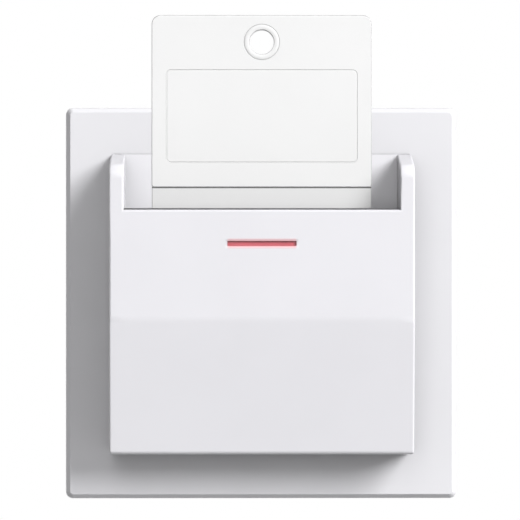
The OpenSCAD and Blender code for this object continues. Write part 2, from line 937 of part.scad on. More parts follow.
// Triangles of that tube, with flat ends
function coil_faces(turns) =
  let (last = turns * rings_per_turn * tube_sides) concat(
    [
      for (i = [0:turns * rings_per_turn - 1], j = [0:tube_sides - 1], half = [0, 1])
        let (
          a = i * tube_sides + j,
          b = i * tube_sides + (j + 1) % tube_sides
        )
          half == 0 ? [a, a + tube_sides, b] : [b, a + tube_sides, b + tube_sides]
    ],
    [for (j = [1:tube_sides - 2]) [0, j, j + 1]],
    [for (j = [1:tube_sides - 2]) [last, last + j + 1, last + j]]
  );

// Least distance between points of neighbouring turns
function coil_gap(points) =
  let (turn = rings_per_turn * tube_sides) min([
    for (i = [0:len(points) - turn - 1], k = [-2 * tube_sides:2 * tube_sides])
      let (other = i + turn + k)
        if (other < len(points)) norm(points[i] - points[other])
  ]);

// Coil spring along Z between two seats, with the named room at both ends
module coil(radius, turns, length) {
  room = wire_radius + coil_end_gap;
  points = coil_points(radius, turns, length - 2 * room);
  echo(least_gap_between_turns = coil_gap(points));
  translate([0, 0, room])
    polyhedron(points, coil_faces(turns));
}

module carriage_spring_right() {
  color("silver")
    translate([spring_spread, y_spring, z_shelf])
      coil(spring_radius, carriage_turns, spring_length);
}

module carriage_spring_left() {
  color("silver")
    translate([-spring_spread, y_spring, z_shelf])
      coil(spring_radius, carriage_turns, spring_length);
}

// Small board behind the back plate, on two pegs
module lamp_board() {
  y_front_cut = y_plate_back - past;
  y_back_cut = y_board_back + past;
  color("darkgreen")
    difference() {
      block([-board_half, y_plate_back, z_board], [board_half, y_board_back, z_board + board_height]);
      both_sides() {
        rod_y(peg_spread, z_slit, peg_radius + pin_gap, y_front_cut, y_back_cut);
        rod_y(lamp_pin_spread, z_lamp_pin, lamp_pin_radius + pin_gap, y_front_cut, y_back_cut);
      }
    }
}

// Round lamp that stands on the board and looks through the back plate
module locator_lamp() {
  y_dome = y_plate_back - lamp_length;
  color("red") {
    rod_y(0, z_slit, lamp_radius, y_dome, y_plate_back);
    translate([0, y_dome, z_slit])
      sphere(lamp_radius);
  }
}

// Resistor on the back of the board
module dropper_resistor() {
  y = y_board_back + resistor_radius + rest_gap / 2;
  color("tan")
    translate([-resistor_length / 2, y, z_board + board_height - resistor_drop])
      rotate([0, 90, 0])
        cylinder(r = resistor_radius, h = resistor_length);
}

// Pins that carry current from the insert to the board
module lamp_pins() {
  color("gold")
    both_sides()
      rod_y(lamp_pin_spread, z_lamp_pin, lamp_pin_radius, y_plate_back, y_pin_end - rest_gap / 2);
}

// Outline of the insert's box: a square with its corners turned down
module box_outline(size, circle_size) {
  intersection() {
    square(size, center = true);
    circle(d = circle_size);
  }
}

// Steel strap with the opening for the insert and the holes for the wall screws
module mounting_strap() {
  room = 2 * slide_gap;
  color("silver")
    difference() {
      from_front(y_strap, 0)
        rounded(strap_size, strap_size, strap_corner);
      from_front(y_strap - past, past)
        box_outline(housing_size + room, housing_circle + room);
      for (turn = [0, 90, 180, 270])
        rotate([0, turn, 0])
          rod_y(screw_circle / 2, 0, screw_hole / 2, y_strap - past, past);
      for (turn = [45, 135, 225, 315])
        rotate([0, turn, 0])
          strap_slot();
      flange_holes(flange_screw_radius + pin_gap, y_strap - past, past);
    }
}

// Slot near a corner of the strap
module strap_slot() {
  reach = strap_size / 2 + slot_shift;
  from_front(y_strap - past, past) {
    translate([reach - slot_half_width, -slot_half])
      square([2 * slot_half_width, 2 * slot_half]);
    for (z = [-slot_half, slot_half])
      translate([reach, z])
        circle(slot_half_width);
  }
}

// Holes for the four flange screws
module flange_holes(radius, y0, y1) {
  both_sides()
    for (z = [-flange_screw_z, flange_screw_z])
      rod_y(flange_screw_x, z, radius, y0, y1);
}

// Box of the insert: flange, walls, screw posts, guides for the carrier and openings for the wires
module switch_housing() {
  y_guide = cam_depth + carrier_guide_setback;
  guide_z = carrier_half_height + slide_gap;
  color("dimgray")
    difference() {
      union() {
        difference() {
          union() {
            from_front(y_flange, y_strap)
              rounded(flange_size, flange_size, flange_corner);
            from_front(y_flange, y_box_back)
              box_outline(housing_size, housing_circle);
          }
          from_front(y_flange - past, y_box_inside)
            box_outline(box_inside, housing_circle - 2 * housing_wall);
        }
        intersection() {
          from_front(y_flange, y_box_back)
            box_outline(housing_size, housing_circle);
          both_sides()
            for (z = [-1, 1])
              rod_y(
                lid_screw_spread, z * lid_screw_spread, lid_post_radius,
                y_flange, y_flange + lid_post_length
              );
        }
        for (z = [follower_z + guide_z, follower_z - guide_z - rib_thickness])
          block([-carrier_reach, y_guide, z], [carrier_reach, y_box_inside + weld, z + rib_thickness]);
        rod_y(0, follower_z, stem_boss_radius, y_box_inside - stem_boss_length, y_box_inside + weld);
        for (x = terminal_x)
          clamp_seat(x);
      }
      both_sides()
        for (z = [-1, 1])
          rod_y(
            lid_screw_spread, z * lid_screw_spread, lid_screw_radius + pin_gap,
            y_flange - past, y_flange + lid_post_length - lid_post_floor
          );
      flange_holes(flange_screw_radius + pin_gap, y_flange - past, y_strap + past);
      rod_y(
        0, follower_z, stem_radius + slide_gap / 2,
        y_box_inside - stem_boss_length - past, y_box_inside
      );
      for (x = terminal_x) {
        block(
          [x - wire_entry / 2, y_box_inside - past, z_entry - wire_entry / 2],
          [x + wire_entry / 2, y_box_back + past, z_entry + wire_entry / 2]
        );
        rod_z(
          x, clamp_mid_y, terminal_screw_head + slide_gap,
          box_inside / 2 - past, housing_size / 2 + past
        );
      }
    }
}

// Seat from the back wall under a terminal clamp
module clamp_seat(x) {
  block(
    [x - clamp_width / 2, y_seat, z_seat],
    [x - strip_width / 2 - slide_gap, y_box_inside + weld, terminal_height]
  );
  block(
    [x + strip_width / 2 + slide_gap, y_seat, z_seat],
    [x + clamp_width / 2, y_box_inside + weld, terminal_height]
  );
}

// Lid of the insert, with an overhanging edge for the hooks and a slot for the carriage's neck
module housing_lid() {
  y_cut = y_lid - past;
  y_sunk = y_lid + lid_screw_sink;
  color("gray")
    difference() {
      union() {
        from_front(y_lid, y_lid + lid_edge)
          box_outline(lid_size, housing_circle + 1);
        from_front(y_lid + lid_edge - weld, y_flange)
          box_outline(lid_plug, housing_circle - 2 * lid_overhang + 1);
      }
      block(
        [-neck_width / 2 - slide_gap, y_cut, neck_bottom - slide_gap],
        [neck_width / 2 + slide_gap, y_flange + past, neck_top + carriage_travel + slide_gap]
      );
      both_sides() {
        for (z = [-1, 1]) {
          rod_y(lid_screw_spread, z * lid_screw_spread, lid_screw_radius + pin_gap, y_cut, y_flange + past);
          rod_y(lid_screw_spread, z * lid_screw_spread, lid_screw_head + pin_gap, y_cut, y_sunk);
        }
        rod_y(lamp_pin_spread, z_lamp_pin, lamp_pin_radius + pin_gap, y_cut, y_flange + past);
      }
    }
}

// Screw along Y with its head in front of the seat and its shank towards the wall
module front_screw(x, z, y_head, sink, head, shank, y_end) {
  difference() {
    union() {
      rod_y(x, z, head, y_head, y_head + sink);
      rod_y(x, z, shank, y_head + sink / 2, y_end);
    }
    cross_slot(x, z, y_head, head);
  }
}

// Screws that hold the lid on the box
module housing_screws() {
  color("silver")
    both_sides()
      for (z = [-1, 1])
        front_screw(
          lid_screw_spread, z * lid_screw_spread, y_lid, lid_screw_sink,
          lid_screw_head, lid_screw_radius, y_flange + lid_screw_length
        );
}

// Screws that hold the flange on the strap
module flange_screws() {
  color("silver")
    both_sides()
      for (z = [-flange_screw_z, flange_screw_z])
        front_screw(
          flange_screw_x, z, y_flange - flange_screw_sink, flange_screw_sink,
          flange_screw_head, flange_screw_radius, 0
        );
}

// Slide that the cam pushes: a round nose, a window for the bridge and a guide stem
module contact_carrier() {
  color("ivory")
    difference() {
      union() {
        block(
          [-carrier_reach, nose_y, follower_z - carrier_half_height],
          [carrier_reach, y_carrier_back, follower_z + carrier_half_height]
        );
        translate([-cam_reach, nose_y, nose_z])
          rotate([0, 90, 0])
            cylinder(r = nose_radius, h = 2 * cam_reach);
        rod_y(0, follower_z, stem_radius, y_carrier_back - weld, y_box_inside - stem_room);
      }
      block(
        [-carrier_reach - past, y_bridge_window, follower_z - window_half],
        [carrier_reach + past, y_bridge_back, follower_z + window_half]
      );
    }
}

// Copper bridge that lies in the carrier's window
module contact_bridge() {
  half = window_half - pin_gap;
  color("peru")
    difference() {
      from_front(y_bridge, y_bridge_back)
        translate([0, follower_z])
          rounded(2 * (tip_spread + half), 2 * half, half - pin_gap);
      both_sides()
        rod_y(tip_spread, follower_z, tip_radius / 2 + pin_gap, y_bridge - past, y_bridge_back + past);
    }
}

// Contact tip with its rivet shank, on the front or the back of a strip
module contact_tip(x, y_strip, side) {
  face = y_strip + side * tip_height;
  far = y_strip - side * strip_thickness;
  rod_y(x, follower_z, tip_radius, min(y_strip, face), max(y_strip, face));
  rod_y(x, follower_z, tip_radius / 2, min(face, far), max(face, far));
}

// Tips on the back of the bridge
module bridge_tips() {
  color("gainsboro")
    both_sides()
      contact_tip(tip_spread, y_bridge_back, 1);
}

// Tips on the front of the fixed contacts
module fixed_tips() {
  color("gainsboro")
    both_sides()
      contact_tip(tip_spread, y_fixed, -1);
}

// Spring that presses the bridge onto the fixed contacts
module bridge_spring() {
  color("silver")
    translate([0, y_bridge_window, follower_z])
      rotate([-90, 0, 0])
        coil(bridge_spring_radius, bridge_turns, bridge_room);
}

// Spring that pushes the carrier back towards the cam
module carrier_spring() {
  color("silver")
    translate([0, y_carrier_back, follower_z])
      rotate([-90, 0, 0])
        coil(return_radius, return_turns, return_length);
}

// Strip from a fixed contact up, round the clamp's seat and into the clamp, on the right
module fixed_strip() {
  half = strip_width / 2;
  z_jog = z_seat - strip_thickness - slide_gap;
  difference() {
    union() {
      block(
        [tip_spread - half, y_fixed, follower_z - strip_drop],
        [tip_spread + half, y_fixed + strip_thickness, z_jog + strip_thickness]
      );
      block(
        [min(tip_spread, terminal_spread) - half, y_fixed, z_jog],
        [max(tip_spread, terminal_spread) + half, y_riser + strip_thickness, z_jog + strip_thickness]
      );
      terminal_tab(terminal_spread, z_jog);
    }
    rod_y(
      tip_spread, follower_z, tip_radius / 2 + pin_gap,
      y_fixed - past, y_fixed + strip_thickness + past
    );
  }
}

// Riser behind a clamp and the tab that lies on the clamp's floor
module terminal_tab(x, z_low) {
  block([x - tab_half, y_riser, z_low], [x + tab_half, y_riser + strip_thickness, z_tab_top]);
  block([x - tab_half, y_clamp - tab_reach, z_tab], [x + tab_half, y_riser + weld, z_tab_top]);
}

module load_contact() {
  color("goldenrod")
    fixed_strip();
}

// The line contact also feeds the lamp by a branch to the left pin
module line_contact() {
  color("goldenrod")
    mirror([1, 0, 0]) {
      fixed_strip();
      block(
        [terminal_spread - tab_half, y_pin_end, z_tab],
        [terminal_spread + tab_half, y_clamp, z_tab_top]
      );
      pin_flap(lamp_pin_spread - 2 * lamp_pin_radius, terminal_spread + tab_half);
    }
}

// Flap that a lamp pin presses on
module pin_flap(x0, x1) {
  block([x0, y_pin_end, z_lamp_pin - flap_drop], [x1, y_pin_end + strip_thickness, z_tab_top]);
}

// Strip from the middle terminal to the right lamp pin
module neutral_strip() {
  x_left = 4 * lamp_pin_radius - lamp_pin_spread + slide_gap;
  color("goldenrod") {
    terminal_tab(0, z_tab);
    block([x_left, y_pin_end, z_tab], [tab_half, y_clamp, z_tab_top]);
    pin_flap(x_left, lamp_pin_spread + flap_drop);
  }
}

// Cage clamps round the strips' tabs
module terminal_clamps() {
  color("darkkhaki")
    for (x = terminal_x)
      difference() {
        block(
          [x - clamp_width / 2, y_clamp, terminal_height],
          [x + clamp_width / 2, y_clamp + clamp_length, z_clamp_top]
        );
        block(
          [x - clamp_inside / 2, y_clamp - past, z_tab],
          [x + clamp_inside / 2, y_clamp + clamp_length + past, z_clamp_top - clamp_wall]
        );
        rod_z(
          x, clamp_mid_y, terminal_screw_radius + pin_gap,
          z_clamp_top - clamp_wall - past, z_clamp_top + past
        );
      }
}

// Slotted screws in the clamps, reached through the top of the box
module terminal_screws() {
  z_top = z_screw_head + screw_head_height;
  slot_reach = terminal_screw_head + past;
  color("silver")
    for (x = terminal_x)
      difference() {
        union() {
          rod_z(x, clamp_mid_y, terminal_screw_radius, z_screw_tip, z_screw_head + weld);
          rod_z(x, clamp_mid_y, terminal_screw_head, z_screw_head, z_top);
        }
        block(
          [x - slot_reach, clamp_mid_y - screw_slot_half, z_top - screw_slot_depth],
          [x + slot_reach, clamp_mid_y + screw_slot_half, z_top + past]
        );
      }
}

cover_frame();
card_holder();
pocket_back();
indicator_lens();
holder_screws();
card_grip_springs();
grip_rivets();
key_card();
card_label();
card_carriage();
switch_cam();
cam_pin();
carriage_spring_left();
carriage_spring_right();
lamp_board();
locator_lamp();
dropper_resistor();
lamp_pins();
mounting_strap();
switch_housing();
housing_lid();
housing_screws();
flange_screws();
contact_carrier();
contact_bridge();
bridge_tips();
bridge_spring();
carrier_spring();
line_contact();
load_contact();
fixed_tips();
neutral_strip();
terminal_clamps();
terminal_screws();
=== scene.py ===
# %% [markdown]
# # A hotel key card switch
# The real thing is a white square frame on a wall. A pocket stands proud of it, with two ears,
# a folded front and a red slit, and a plastic key tag stands in the pocket. Behind the wall a
# small insert holds the contacts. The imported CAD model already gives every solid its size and
# place, so this lesson only adds what a camera sees: softened edges, mouldings and finishes.

# %% Load the solids
import bpy
import bmesh
import math
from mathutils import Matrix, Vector


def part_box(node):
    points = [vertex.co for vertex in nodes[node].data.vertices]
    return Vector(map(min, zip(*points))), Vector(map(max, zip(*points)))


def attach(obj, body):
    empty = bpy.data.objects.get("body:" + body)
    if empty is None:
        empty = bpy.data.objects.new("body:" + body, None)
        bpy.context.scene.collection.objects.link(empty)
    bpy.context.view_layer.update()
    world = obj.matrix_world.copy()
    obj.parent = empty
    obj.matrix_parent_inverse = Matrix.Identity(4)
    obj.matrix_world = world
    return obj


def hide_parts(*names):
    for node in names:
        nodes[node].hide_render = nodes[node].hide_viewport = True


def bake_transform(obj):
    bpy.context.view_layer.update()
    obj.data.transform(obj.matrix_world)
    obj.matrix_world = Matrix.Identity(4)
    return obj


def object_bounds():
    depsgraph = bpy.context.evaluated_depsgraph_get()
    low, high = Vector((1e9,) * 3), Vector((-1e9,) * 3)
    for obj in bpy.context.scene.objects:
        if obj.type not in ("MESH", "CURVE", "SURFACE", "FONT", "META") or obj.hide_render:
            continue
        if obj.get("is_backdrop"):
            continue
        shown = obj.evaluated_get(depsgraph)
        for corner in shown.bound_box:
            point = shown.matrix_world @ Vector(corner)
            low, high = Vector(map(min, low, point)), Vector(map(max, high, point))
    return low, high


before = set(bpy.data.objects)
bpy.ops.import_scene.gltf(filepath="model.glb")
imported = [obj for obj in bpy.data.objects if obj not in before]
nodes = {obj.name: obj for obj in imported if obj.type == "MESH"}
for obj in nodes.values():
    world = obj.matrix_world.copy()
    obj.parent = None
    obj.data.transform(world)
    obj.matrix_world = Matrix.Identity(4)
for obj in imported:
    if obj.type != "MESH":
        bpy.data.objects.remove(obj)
cad_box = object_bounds()
box_mm = [[round(v * 1000, 2) for v in corner] for corner in cad_box]
print("solids:", len(nodes), "box in mm:", box_mm)

# %% [markdown]
# ## Measures
# A maker works from a drawing. These are the drawing's numbers in millimetres. The solids were
# made from nearly the same ones: a few here differ by some tenths, where a close look at the
# photograph gave them. `mm` turns a point into Blender's metres. Depth runs along Y: the wall is
# 0 and everything in the room is negative.

# %% The drawing's numbers
mm = 0.001
FACE_Y, FRONT_Y, FRONT_INSIDE_Y = -8.5, -21.0, -18.8
BOTTOM_Z, FLOOR_Z, FOLD_Z, MOUTH_Z, TIP_Z = -30.6, -28.4, -3.1, 19.1, 30.6
SLIT_Z, SLIT_HALF, SLIT_TALL, SLIT_BREAK = 12.24, 7.0, 0.5, 0.4
HALF_WIDTH, POCKET_HALF = 30.95, 27.95
CARD_Y, CARD_Z, STEP_Z, CARD_TOP_Z, CARD_HALF = -14.6, -17.2, 23.86, 58.8, 22.42


def at(x, y, z):
    return Vector((x, y, z)) * mm


print("pocket mouth is", round(2 * POCKET_HALF, 2), "mm wide")

# %% [markdown]
# ## A place for finished pieces
# Every piece made here ends the same way: its mesh becomes an object, gets smooth shading with
# weighted normals so that flat faces stay flat between their rounded edges, takes a finish, and
# is tied to the solid that it stands for. One helper does this, so that no step is forgotten.

# %% Helper that shades a mesh
SHARP_ANGLE, SAME_POINT, FLAT_WEIGHT = 38, 1e-8, 70


def shade_smooth(shape):
    bmesh.ops.remove_doubles(shape, verts=shape.verts, dist=SAME_POINT)
    bmesh.ops.recalc_face_normals(shape, faces=shape.faces)
    for face in shape.faces:
        face.smooth = True
    for edge in shape.edges:
        if len(edge.link_faces) == 2 and edge.calc_face_angle() > math.radians(SHARP_ANGLE):
            edge.smooth = False


def even_normals(thing):
    even = thing.modifiers.new("even_normals", "WEIGHTED_NORMAL")
    even.weight, even.thresh = FLAT_WEIGHT, 0
    return even


print("edges over", SHARP_ANGLE, "degrees stay sharp")

# %% Helper that turns a mesh into a piece
pieces = []


def make_piece(name, shape, body, finish, stands_for=()):
    shade_smooth(shape)
    mesh = bpy.data.meshes.new(name)
    shape.to_mesh(mesh)
    shape.free()
    piece = bpy.data.objects.new(name, mesh)
    bpy.context.scene.collection.objects.link(piece)
    mesh.materials.append(finish)
    even_normals(piece).keep_sharp = True
    if body:
        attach(piece, body)
    if stands_for:
        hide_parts(*stands_for)
    pieces.append(piece)
    print(name, "has", len(mesh.vertices), "points and", len(mesh.polygons), "faces")
    return piece


print("pieces made so far:", len(pieces))

# %% [markdown]
# ## Moulded plastic
# The frame, the pocket and the tag are white mouldings. A moulding is never one even colour: the
# melt flows, so the white drifts a little, and the mould's fine spark texture breaks the shine.
# A painted picture could show that, but it would blur close up. Here wide soft noise drives the
# colour, finer noise drives the roughness, and the finest noise is a bump a few microns high.
# Object coordinates keep the grain the same size on every piece.

# %% Helpers that start a finish
def new_finish(name):
    finish = bpy.data.materials.new(name)
    finish.use_nodes = True
    tree = finish.node_tree
    shader = tree.nodes["Principled BSDF"]
    place = tree.nodes.new("ShaderNodeTexCoord")
    return finish, tree, shader, place


def noise(tree, place, scale, detail=2.0, stretch=None):
    texture = tree.nodes.new("ShaderNodeTexNoise")
    texture.inputs["Scale"].default_value = scale
    texture.inputs["Detail"].default_value = detail
    source = place.outputs["Object"]
    if stretch:
        mapping = tree.nodes.new("ShaderNodeMapping")
        mapping.inputs["Scale"].default_value = stretch
        tree.links.new(source, mapping.inputs["Vector"])
        source = mapping.outputs["Vector"]
    tree.links.new(source, texture.inputs["Vector"])
    return texture.outputs["Fac"]


print("finishes before the first one:", len(bpy.data.materials))

# %% Helpers that drive colour, roughness and grain
DRIFT_BAND, NOISE_BAND = (0.35, 0.65), (0.3, 0.7)


def colour_drift(tree, factor, dark, light, socket):
    ramp = tree.nodes.new("ShaderNodeValToRGB")
    ends = zip(ramp.color_ramp.elements, DRIFT_BAND, (dark, light))
    for end, position, colour in ends:
        end.position, end.color = position, (*colour, 1)
    tree.links.new(factor, ramp.inputs["Fac"])
    tree.links.new(ramp.outputs["Color"], socket)


def spread(tree, factor, low, high, socket):
    limits = tree.nodes.new("ShaderNodeMapRange")
    ends = zip(("From Min", "From Max", "To Min", "To Max"), (*NOISE_BAND, low, high))
    for end, value in ends:
        limits.inputs[end].default_value = value
    tree.links.new(factor, limits.inputs["Value"])
    tree.links.new(limits.outputs["Result"], socket)


def grain(tree, factor, height, strength, shader):
    bump = tree.nodes.new("ShaderNodeBump")
    bump.inputs["Distance"].default_value = height
    bump.inputs["Strength"].default_value = strength
    tree.links.new(factor, bump.inputs["Height"])
    tree.links.new(bump.outputs["Normal"], shader.inputs["Normal"])


print("colour drifts where the noise is", DRIFT_BAND, "and roughness where it is", NOISE_BAND)

# %% [markdown]
# ## Painted shade and light
# The tag casts no shadow, not even on itself, so its shading is painted into its colour: grey
# along its rounded edges, where the surface turns away from the front, a light grey on the blade,
# which sits in the pocket's shade, and a dark band under the handle, where its shadow falls. Red
# light from the lens is painted onto the white plastic beside the slit, fading with the distance.
# So three small masks find the places, and a second colour is mixed in there.

# %% Painted shade along the rounded edges
EDGE_STOPS = [(0.3, 0), (0.6, 1), (0.86, 1), (0.97, 0)]


def grey(level):
    return (level, level, level)


def mixed_in(tree, mask, shade, socket):
    mix = tree.nodes.new("ShaderNodeMix")
    mix.data_type = "RGBA"
    tree.links.new(mask, mix.inputs["Factor"])
    tree.links.new(socket.links[0].from_socket, mix.inputs["A"])
    mix.inputs["B"].default_value = (*shade, 1)
    tree.links.new(mix.outputs["Result"], socket)


# Painted shade: grey where the tag's rounded edges turn away from the front, standing in for their
# shading.
def painted_edge_shade(tree, place, socket, shade):
    parts = tree.nodes.new("ShaderNodeSeparateXYZ")
    tree.links.new(place.outputs["Normal"], parts.inputs["Vector"])
    facing = tree.nodes.new("ShaderNodeMath")
    facing.operation = "ABSOLUTE"
    tree.links.new(parts.outputs["Y"], facing.inputs[0])
    band = tree.nodes.new("ShaderNodeValToRGB")
    while len(band.color_ramp.elements) < len(EDGE_STOPS):
        band.color_ramp.elements.new(0.5)
    for stop, (position, level) in zip(band.color_ramp.elements, EDGE_STOPS):
        stop.position, stop.color = position, (*grey(level), 1)
    tree.links.new(facing.outputs["Value"], band.inputs["Fac"])
    mixed_in(tree, band.outputs["Color"], shade, socket)


print("edges are grey where they face the front by", EDGE_STOPS[1][0], "to", EDGE_STOPS[2][0])

# %% Painted shade between two heights
# Painted shade: mixes a grey into the colour between two heights, where shade or shadow falls.
def painted_shade_band(tree, place, socket, low, high, shade):
    spot = tree.nodes.new("ShaderNodeSeparateXYZ")
    tree.links.new(place.outputs["Object"], spot.inputs["Vector"])
    level = tree.nodes.new("ShaderNodeMath")
    level.operation = "COMPARE"
    level.inputs[1].default_value = (low + high) / 2 * mm
    level.inputs[2].default_value = (high - low) / 2 * mm
    tree.links.new(spot.outputs["Z"], level.inputs[0])
    mixed_in(tree, level.outputs["Value"], shade, socket)


# Painted shadow: a dark band right under the handle's step, where its shadow falls.
STEP_SHADOW_BAND = (STEP_Z - 0.33, STEP_Z - 0.03)
print("the painted shadow under the handle is", round(STEP_SHADOW_BAND[1] - STEP_SHADOW_BAND[0], 2), "mm tall")

# %% Painted red light round the slit
# Painted light: a red tint that fades with the distance from the slit, for light the lens throws on
# the plastic.
def painted_red_bounce(tree, place, socket, middle, half, reach, shade):
    way = place.outputs["Object"]
    steps = [("SUBTRACT", middle), ("ABSOLUTE", None), ("SUBTRACT", half),
             ("MAXIMUM", (0, 0, 0)), ("MULTIPLY", (1, 0, 1))]
    for operation, amount in steps:
        step = tree.nodes.new("ShaderNodeVectorMath")
        step.operation = operation
        tree.links.new(way, step.inputs[0])
        if amount:
            step.inputs[1].default_value = amount
        way = step.outputs["Vector"]
    gap = tree.nodes.new("ShaderNodeVectorMath")
    gap.operation = "LENGTH"
    tree.links.new(way, gap.inputs[0])
    fade = tree.nodes.new("ShaderNodeMapRange")
    fade.inputs["From Max"].default_value = reach * mm
    fade.inputs["To Min"].default_value = 1
    fade.inputs["To Max"].default_value = 0
    tree.links.new(gap.outputs["Value"], fade.inputs["Value"])
    mixed_in(tree, fade.outputs["Result"], shade, socket)


RED_BOUNCE_TINT, RED_BOUNCE_REACH = (0.93, 0.46, 0.49), 0.65
slit_middle, slit_half = at(0, FRONT_Y, SLIT_Z), at(SLIT_HALF - 0.4, 1, SLIT_TALL)
print("the tint reaches", RED_BOUNCE_REACH, "mm from the slit")

# %% [markdown]
# ## The plastics of this switch
# The frame and the pocket are a cool white and the tag a plainer one. Inside are the usual colours
# of switch parts: a grey sledge, an orange cam, an ivory carrier and a dark box with a grey lid.
# Each could have a node tree of its own, but they differ only in a few numbers. So one recipe
# takes the colour, its drift, the roughness and the grain, and a list of painted shade and light
# marks.

# %% Recipe for a moulding
FLOW_SCALE, SHEEN_SCALE, ROUGH_SWING = 45, 320, 0.05
GRAIN_PITCH, GRAIN_HEIGHT, GRAIN_STRENGTH = 0.0006, 0.000004, 0.5


def moulded(name, colour, drift, rough, pitch=GRAIN_PITCH, height=GRAIN_HEIGHT, marks=()):
    finish, tree, shader, place = new_finish(name)
    colour_socket, rough_socket = shader.inputs["Base Color"], shader.inputs["Roughness"]
    dark = [c * (1 - drift) for c in colour]
    colour_drift(tree, noise(tree, place, FLOW_SCALE, 3), dark, colour, colour_socket)
    for mark, *facts in marks:
        mark(tree, place, colour_socket, *facts)
    sheen = noise(tree, place, SHEEN_SCALE, 2)
    spread(tree, sheen, rough - ROUGH_SWING, rough + ROUGH_SWING, rough_socket)
    grain(tree, noise(tree, place, 1 / pitch, 1), height, GRAIN_STRENGTH, shader)
    return finish


# Painted shade: grey on the tag's edges, a light grey on the blade in the pocket's shade, and a
# dark band as the shadow under the handle.
EDGE_SHADE_GREY, BLADE_SHADE_GREY, STEP_SHADOW_GREY = grey(0.36), grey(0.82), grey(0.14)
tag_painted_shade = [(painted_edge_shade, EDGE_SHADE_GREY), (painted_shade_band, CARD_Z - 1, STEP_Z, BLADE_SHADE_GREY),
             (painted_shade_band, *STEP_SHADOW_BAND, STEP_SHADOW_GREY)]
# Painted light: red from the lens on the pocket's plastic round the slit.
slit_painted_light = [(painted_red_bounce, slit_middle, slit_half, RED_BOUNCE_REACH, RED_BOUNCE_TINT)]
print("the tag has", len(tag_painted_shade), "marks and the pocket", len(slit_painted_light))

# %% Mix the plastics
white_frame = moulded("white_frame", (0.85, 0.845, 0.875), 0.02, 0.38)
white_pocket = moulded("white_pocket", (0.85, 0.843, 0.88), 0.02, 0.36, marks=slit_painted_light)
# Painted light: the plate's white is lighter than the frame's, for light bounced onto it from the
# ears and the tag.
plate_white_with_painted_bounce = moulded("plate_white_with_painted_bounce", (0.93, 0.923, 0.96), 0.02, 0.36)
white_tag = moulded("white_tag", grey(0.91), 0.02, 0.45, 0.0004, marks=tag_painted_shade)
label_white = moulded("label_white", grey(0.91), 0.02, 0.6, 0.00025, 0.000006)
grey_carriage = moulded("grey_carriage", (0.62, 0.63, 0.65), 0.06, 0.5)
orange_cam = moulded("orange_cam", (0.8, 0.3, 0.06), 0.1, 0.45)
ivory_carrier = moulded("ivory_carrier", (0.78, 0.7, 0.52), 0.06, 0.5)
dark_housing = moulded("dark_housing", (0.1, 0.105, 0.11), 0.2, 0.6, 0.0005, 0.00001)
grey_lid = moulded("grey_lid", (0.32, 0.33, 0.34), 0.1, 0.5)
print("plastics:", [m.name for m in bpy.data.materials if m.use_nodes and m.users == 0])

# %% [markdown]
# ## Metals
# Zinc on steel is cloudy, with faint crystals. Drawn wire and stamped strip carry fine lines along
# the way they were worked. Scratches could be modelled, but they are far too fine for a mesh. So
# noise drives the roughness and a slight bump: round noise for zinc, and noise stretched along one
# axis for drawn and stamped metal.

# %% Make the metals
CLOUD_SCALE, LINE_HEIGHT, LINE_STRENGTH = 160, 0.000006, 0.4


def metal(name, colour, drift, rough, stretch=(1, 1, 1), pitch=0.0008):
    finish, tree, shader, place = new_finish(name)
    shader.inputs["Metallic"].default_value = 1.0
    dark = [c * (1 - drift) for c in colour]
    clouds = noise(tree, place, CLOUD_SCALE, 4)
    colour_drift(tree, clouds, dark, colour, shader.inputs["Base Color"])
    lines = noise(tree, place, 1 / pitch, 3, stretch)
    spread(tree, lines, rough - 0.1, rough + 0.12, shader.inputs["Roughness"])
    grain(tree, lines, LINE_HEIGHT, LINE_STRENGTH, shader)
    return finish


zinc_sheet = metal("zinc_sheet", (0.66, 0.67, 0.68), 0.16, 0.42)
zinc_screw = metal("zinc_screw", (0.64, 0.65, 0.66), 0.1, 0.35)
drawn_wire = metal("drawn_wire", (0.58, 0.59, 0.61), 0.12, 0.28, (1, 1, 0.2))
stamped_brass = metal("stamped_brass", (0.76, 0.56, 0.24), 0.15, 0.36, (0.2, 1, 1))
stamped_copper = metal("stamped_copper", (0.74, 0.38, 0.22), 0.15, 0.36, (0.2, 1, 1))
silver_tip = metal("silver_tip", (0.8, 0.8, 0.78), 0.1, 0.3)
print("metals made:", zinc_sheet.name, drawn_wire.name, stamped_brass.name)

# %% [markdown]
# ## Red resin and the lamp's board
# The lens and the lamp are red resin. Light enters it a little way and comes back redder, so a
# plain red would look like paint. Clear glass could do it, but with a dark pocket behind it the
# slit would turn black. So the resin is an ordinary surface with some subsurface colour. The board
# and the resistor are lacquered, and take the recipe for mouldings with a finer grain.

# %% Red resin, board and resistor
RESIN_DARK, RESIN_SWING = 0.9, 0.04
RESIN_DEPTH = (0.001, 0.0003, 0.0003)


def red_resin(name, colour, rough):
    finish, tree, shader, place = new_finish(name)
    dark = [c * RESIN_DARK for c in colour]
    colour_drift(tree, noise(tree, place, 400, 2), dark, colour, shader.inputs["Base Color"])
    sheen = noise(tree, place, 900, 2)
    spread(tree, sheen, rough - RESIN_SWING, rough + RESIN_SWING, shader.inputs["Roughness"])
    shader.inputs["Subsurface Weight"].default_value = 0.15
    shader.inputs["Subsurface Radius"].default_value = RESIN_DEPTH
    return finish


red_slit = red_resin("red_slit", (0.7, 0.135, 0.165), 0.35)
red_lamp = red_resin("red_lamp", (0.55, 0.04, 0.05), 0.15)
green_board = moulded("green_board", (0.03, 0.2, 0.09), 0.25, 0.35, 0.0003, 0.00001)
tan_resistor = moulded("tan_resistor", (0.6, 0.45, 0.28), 0.15, 0.4, 0.0003)
print("electric finishes made:", red_slit.name, red_lamp.name, green_board.name)

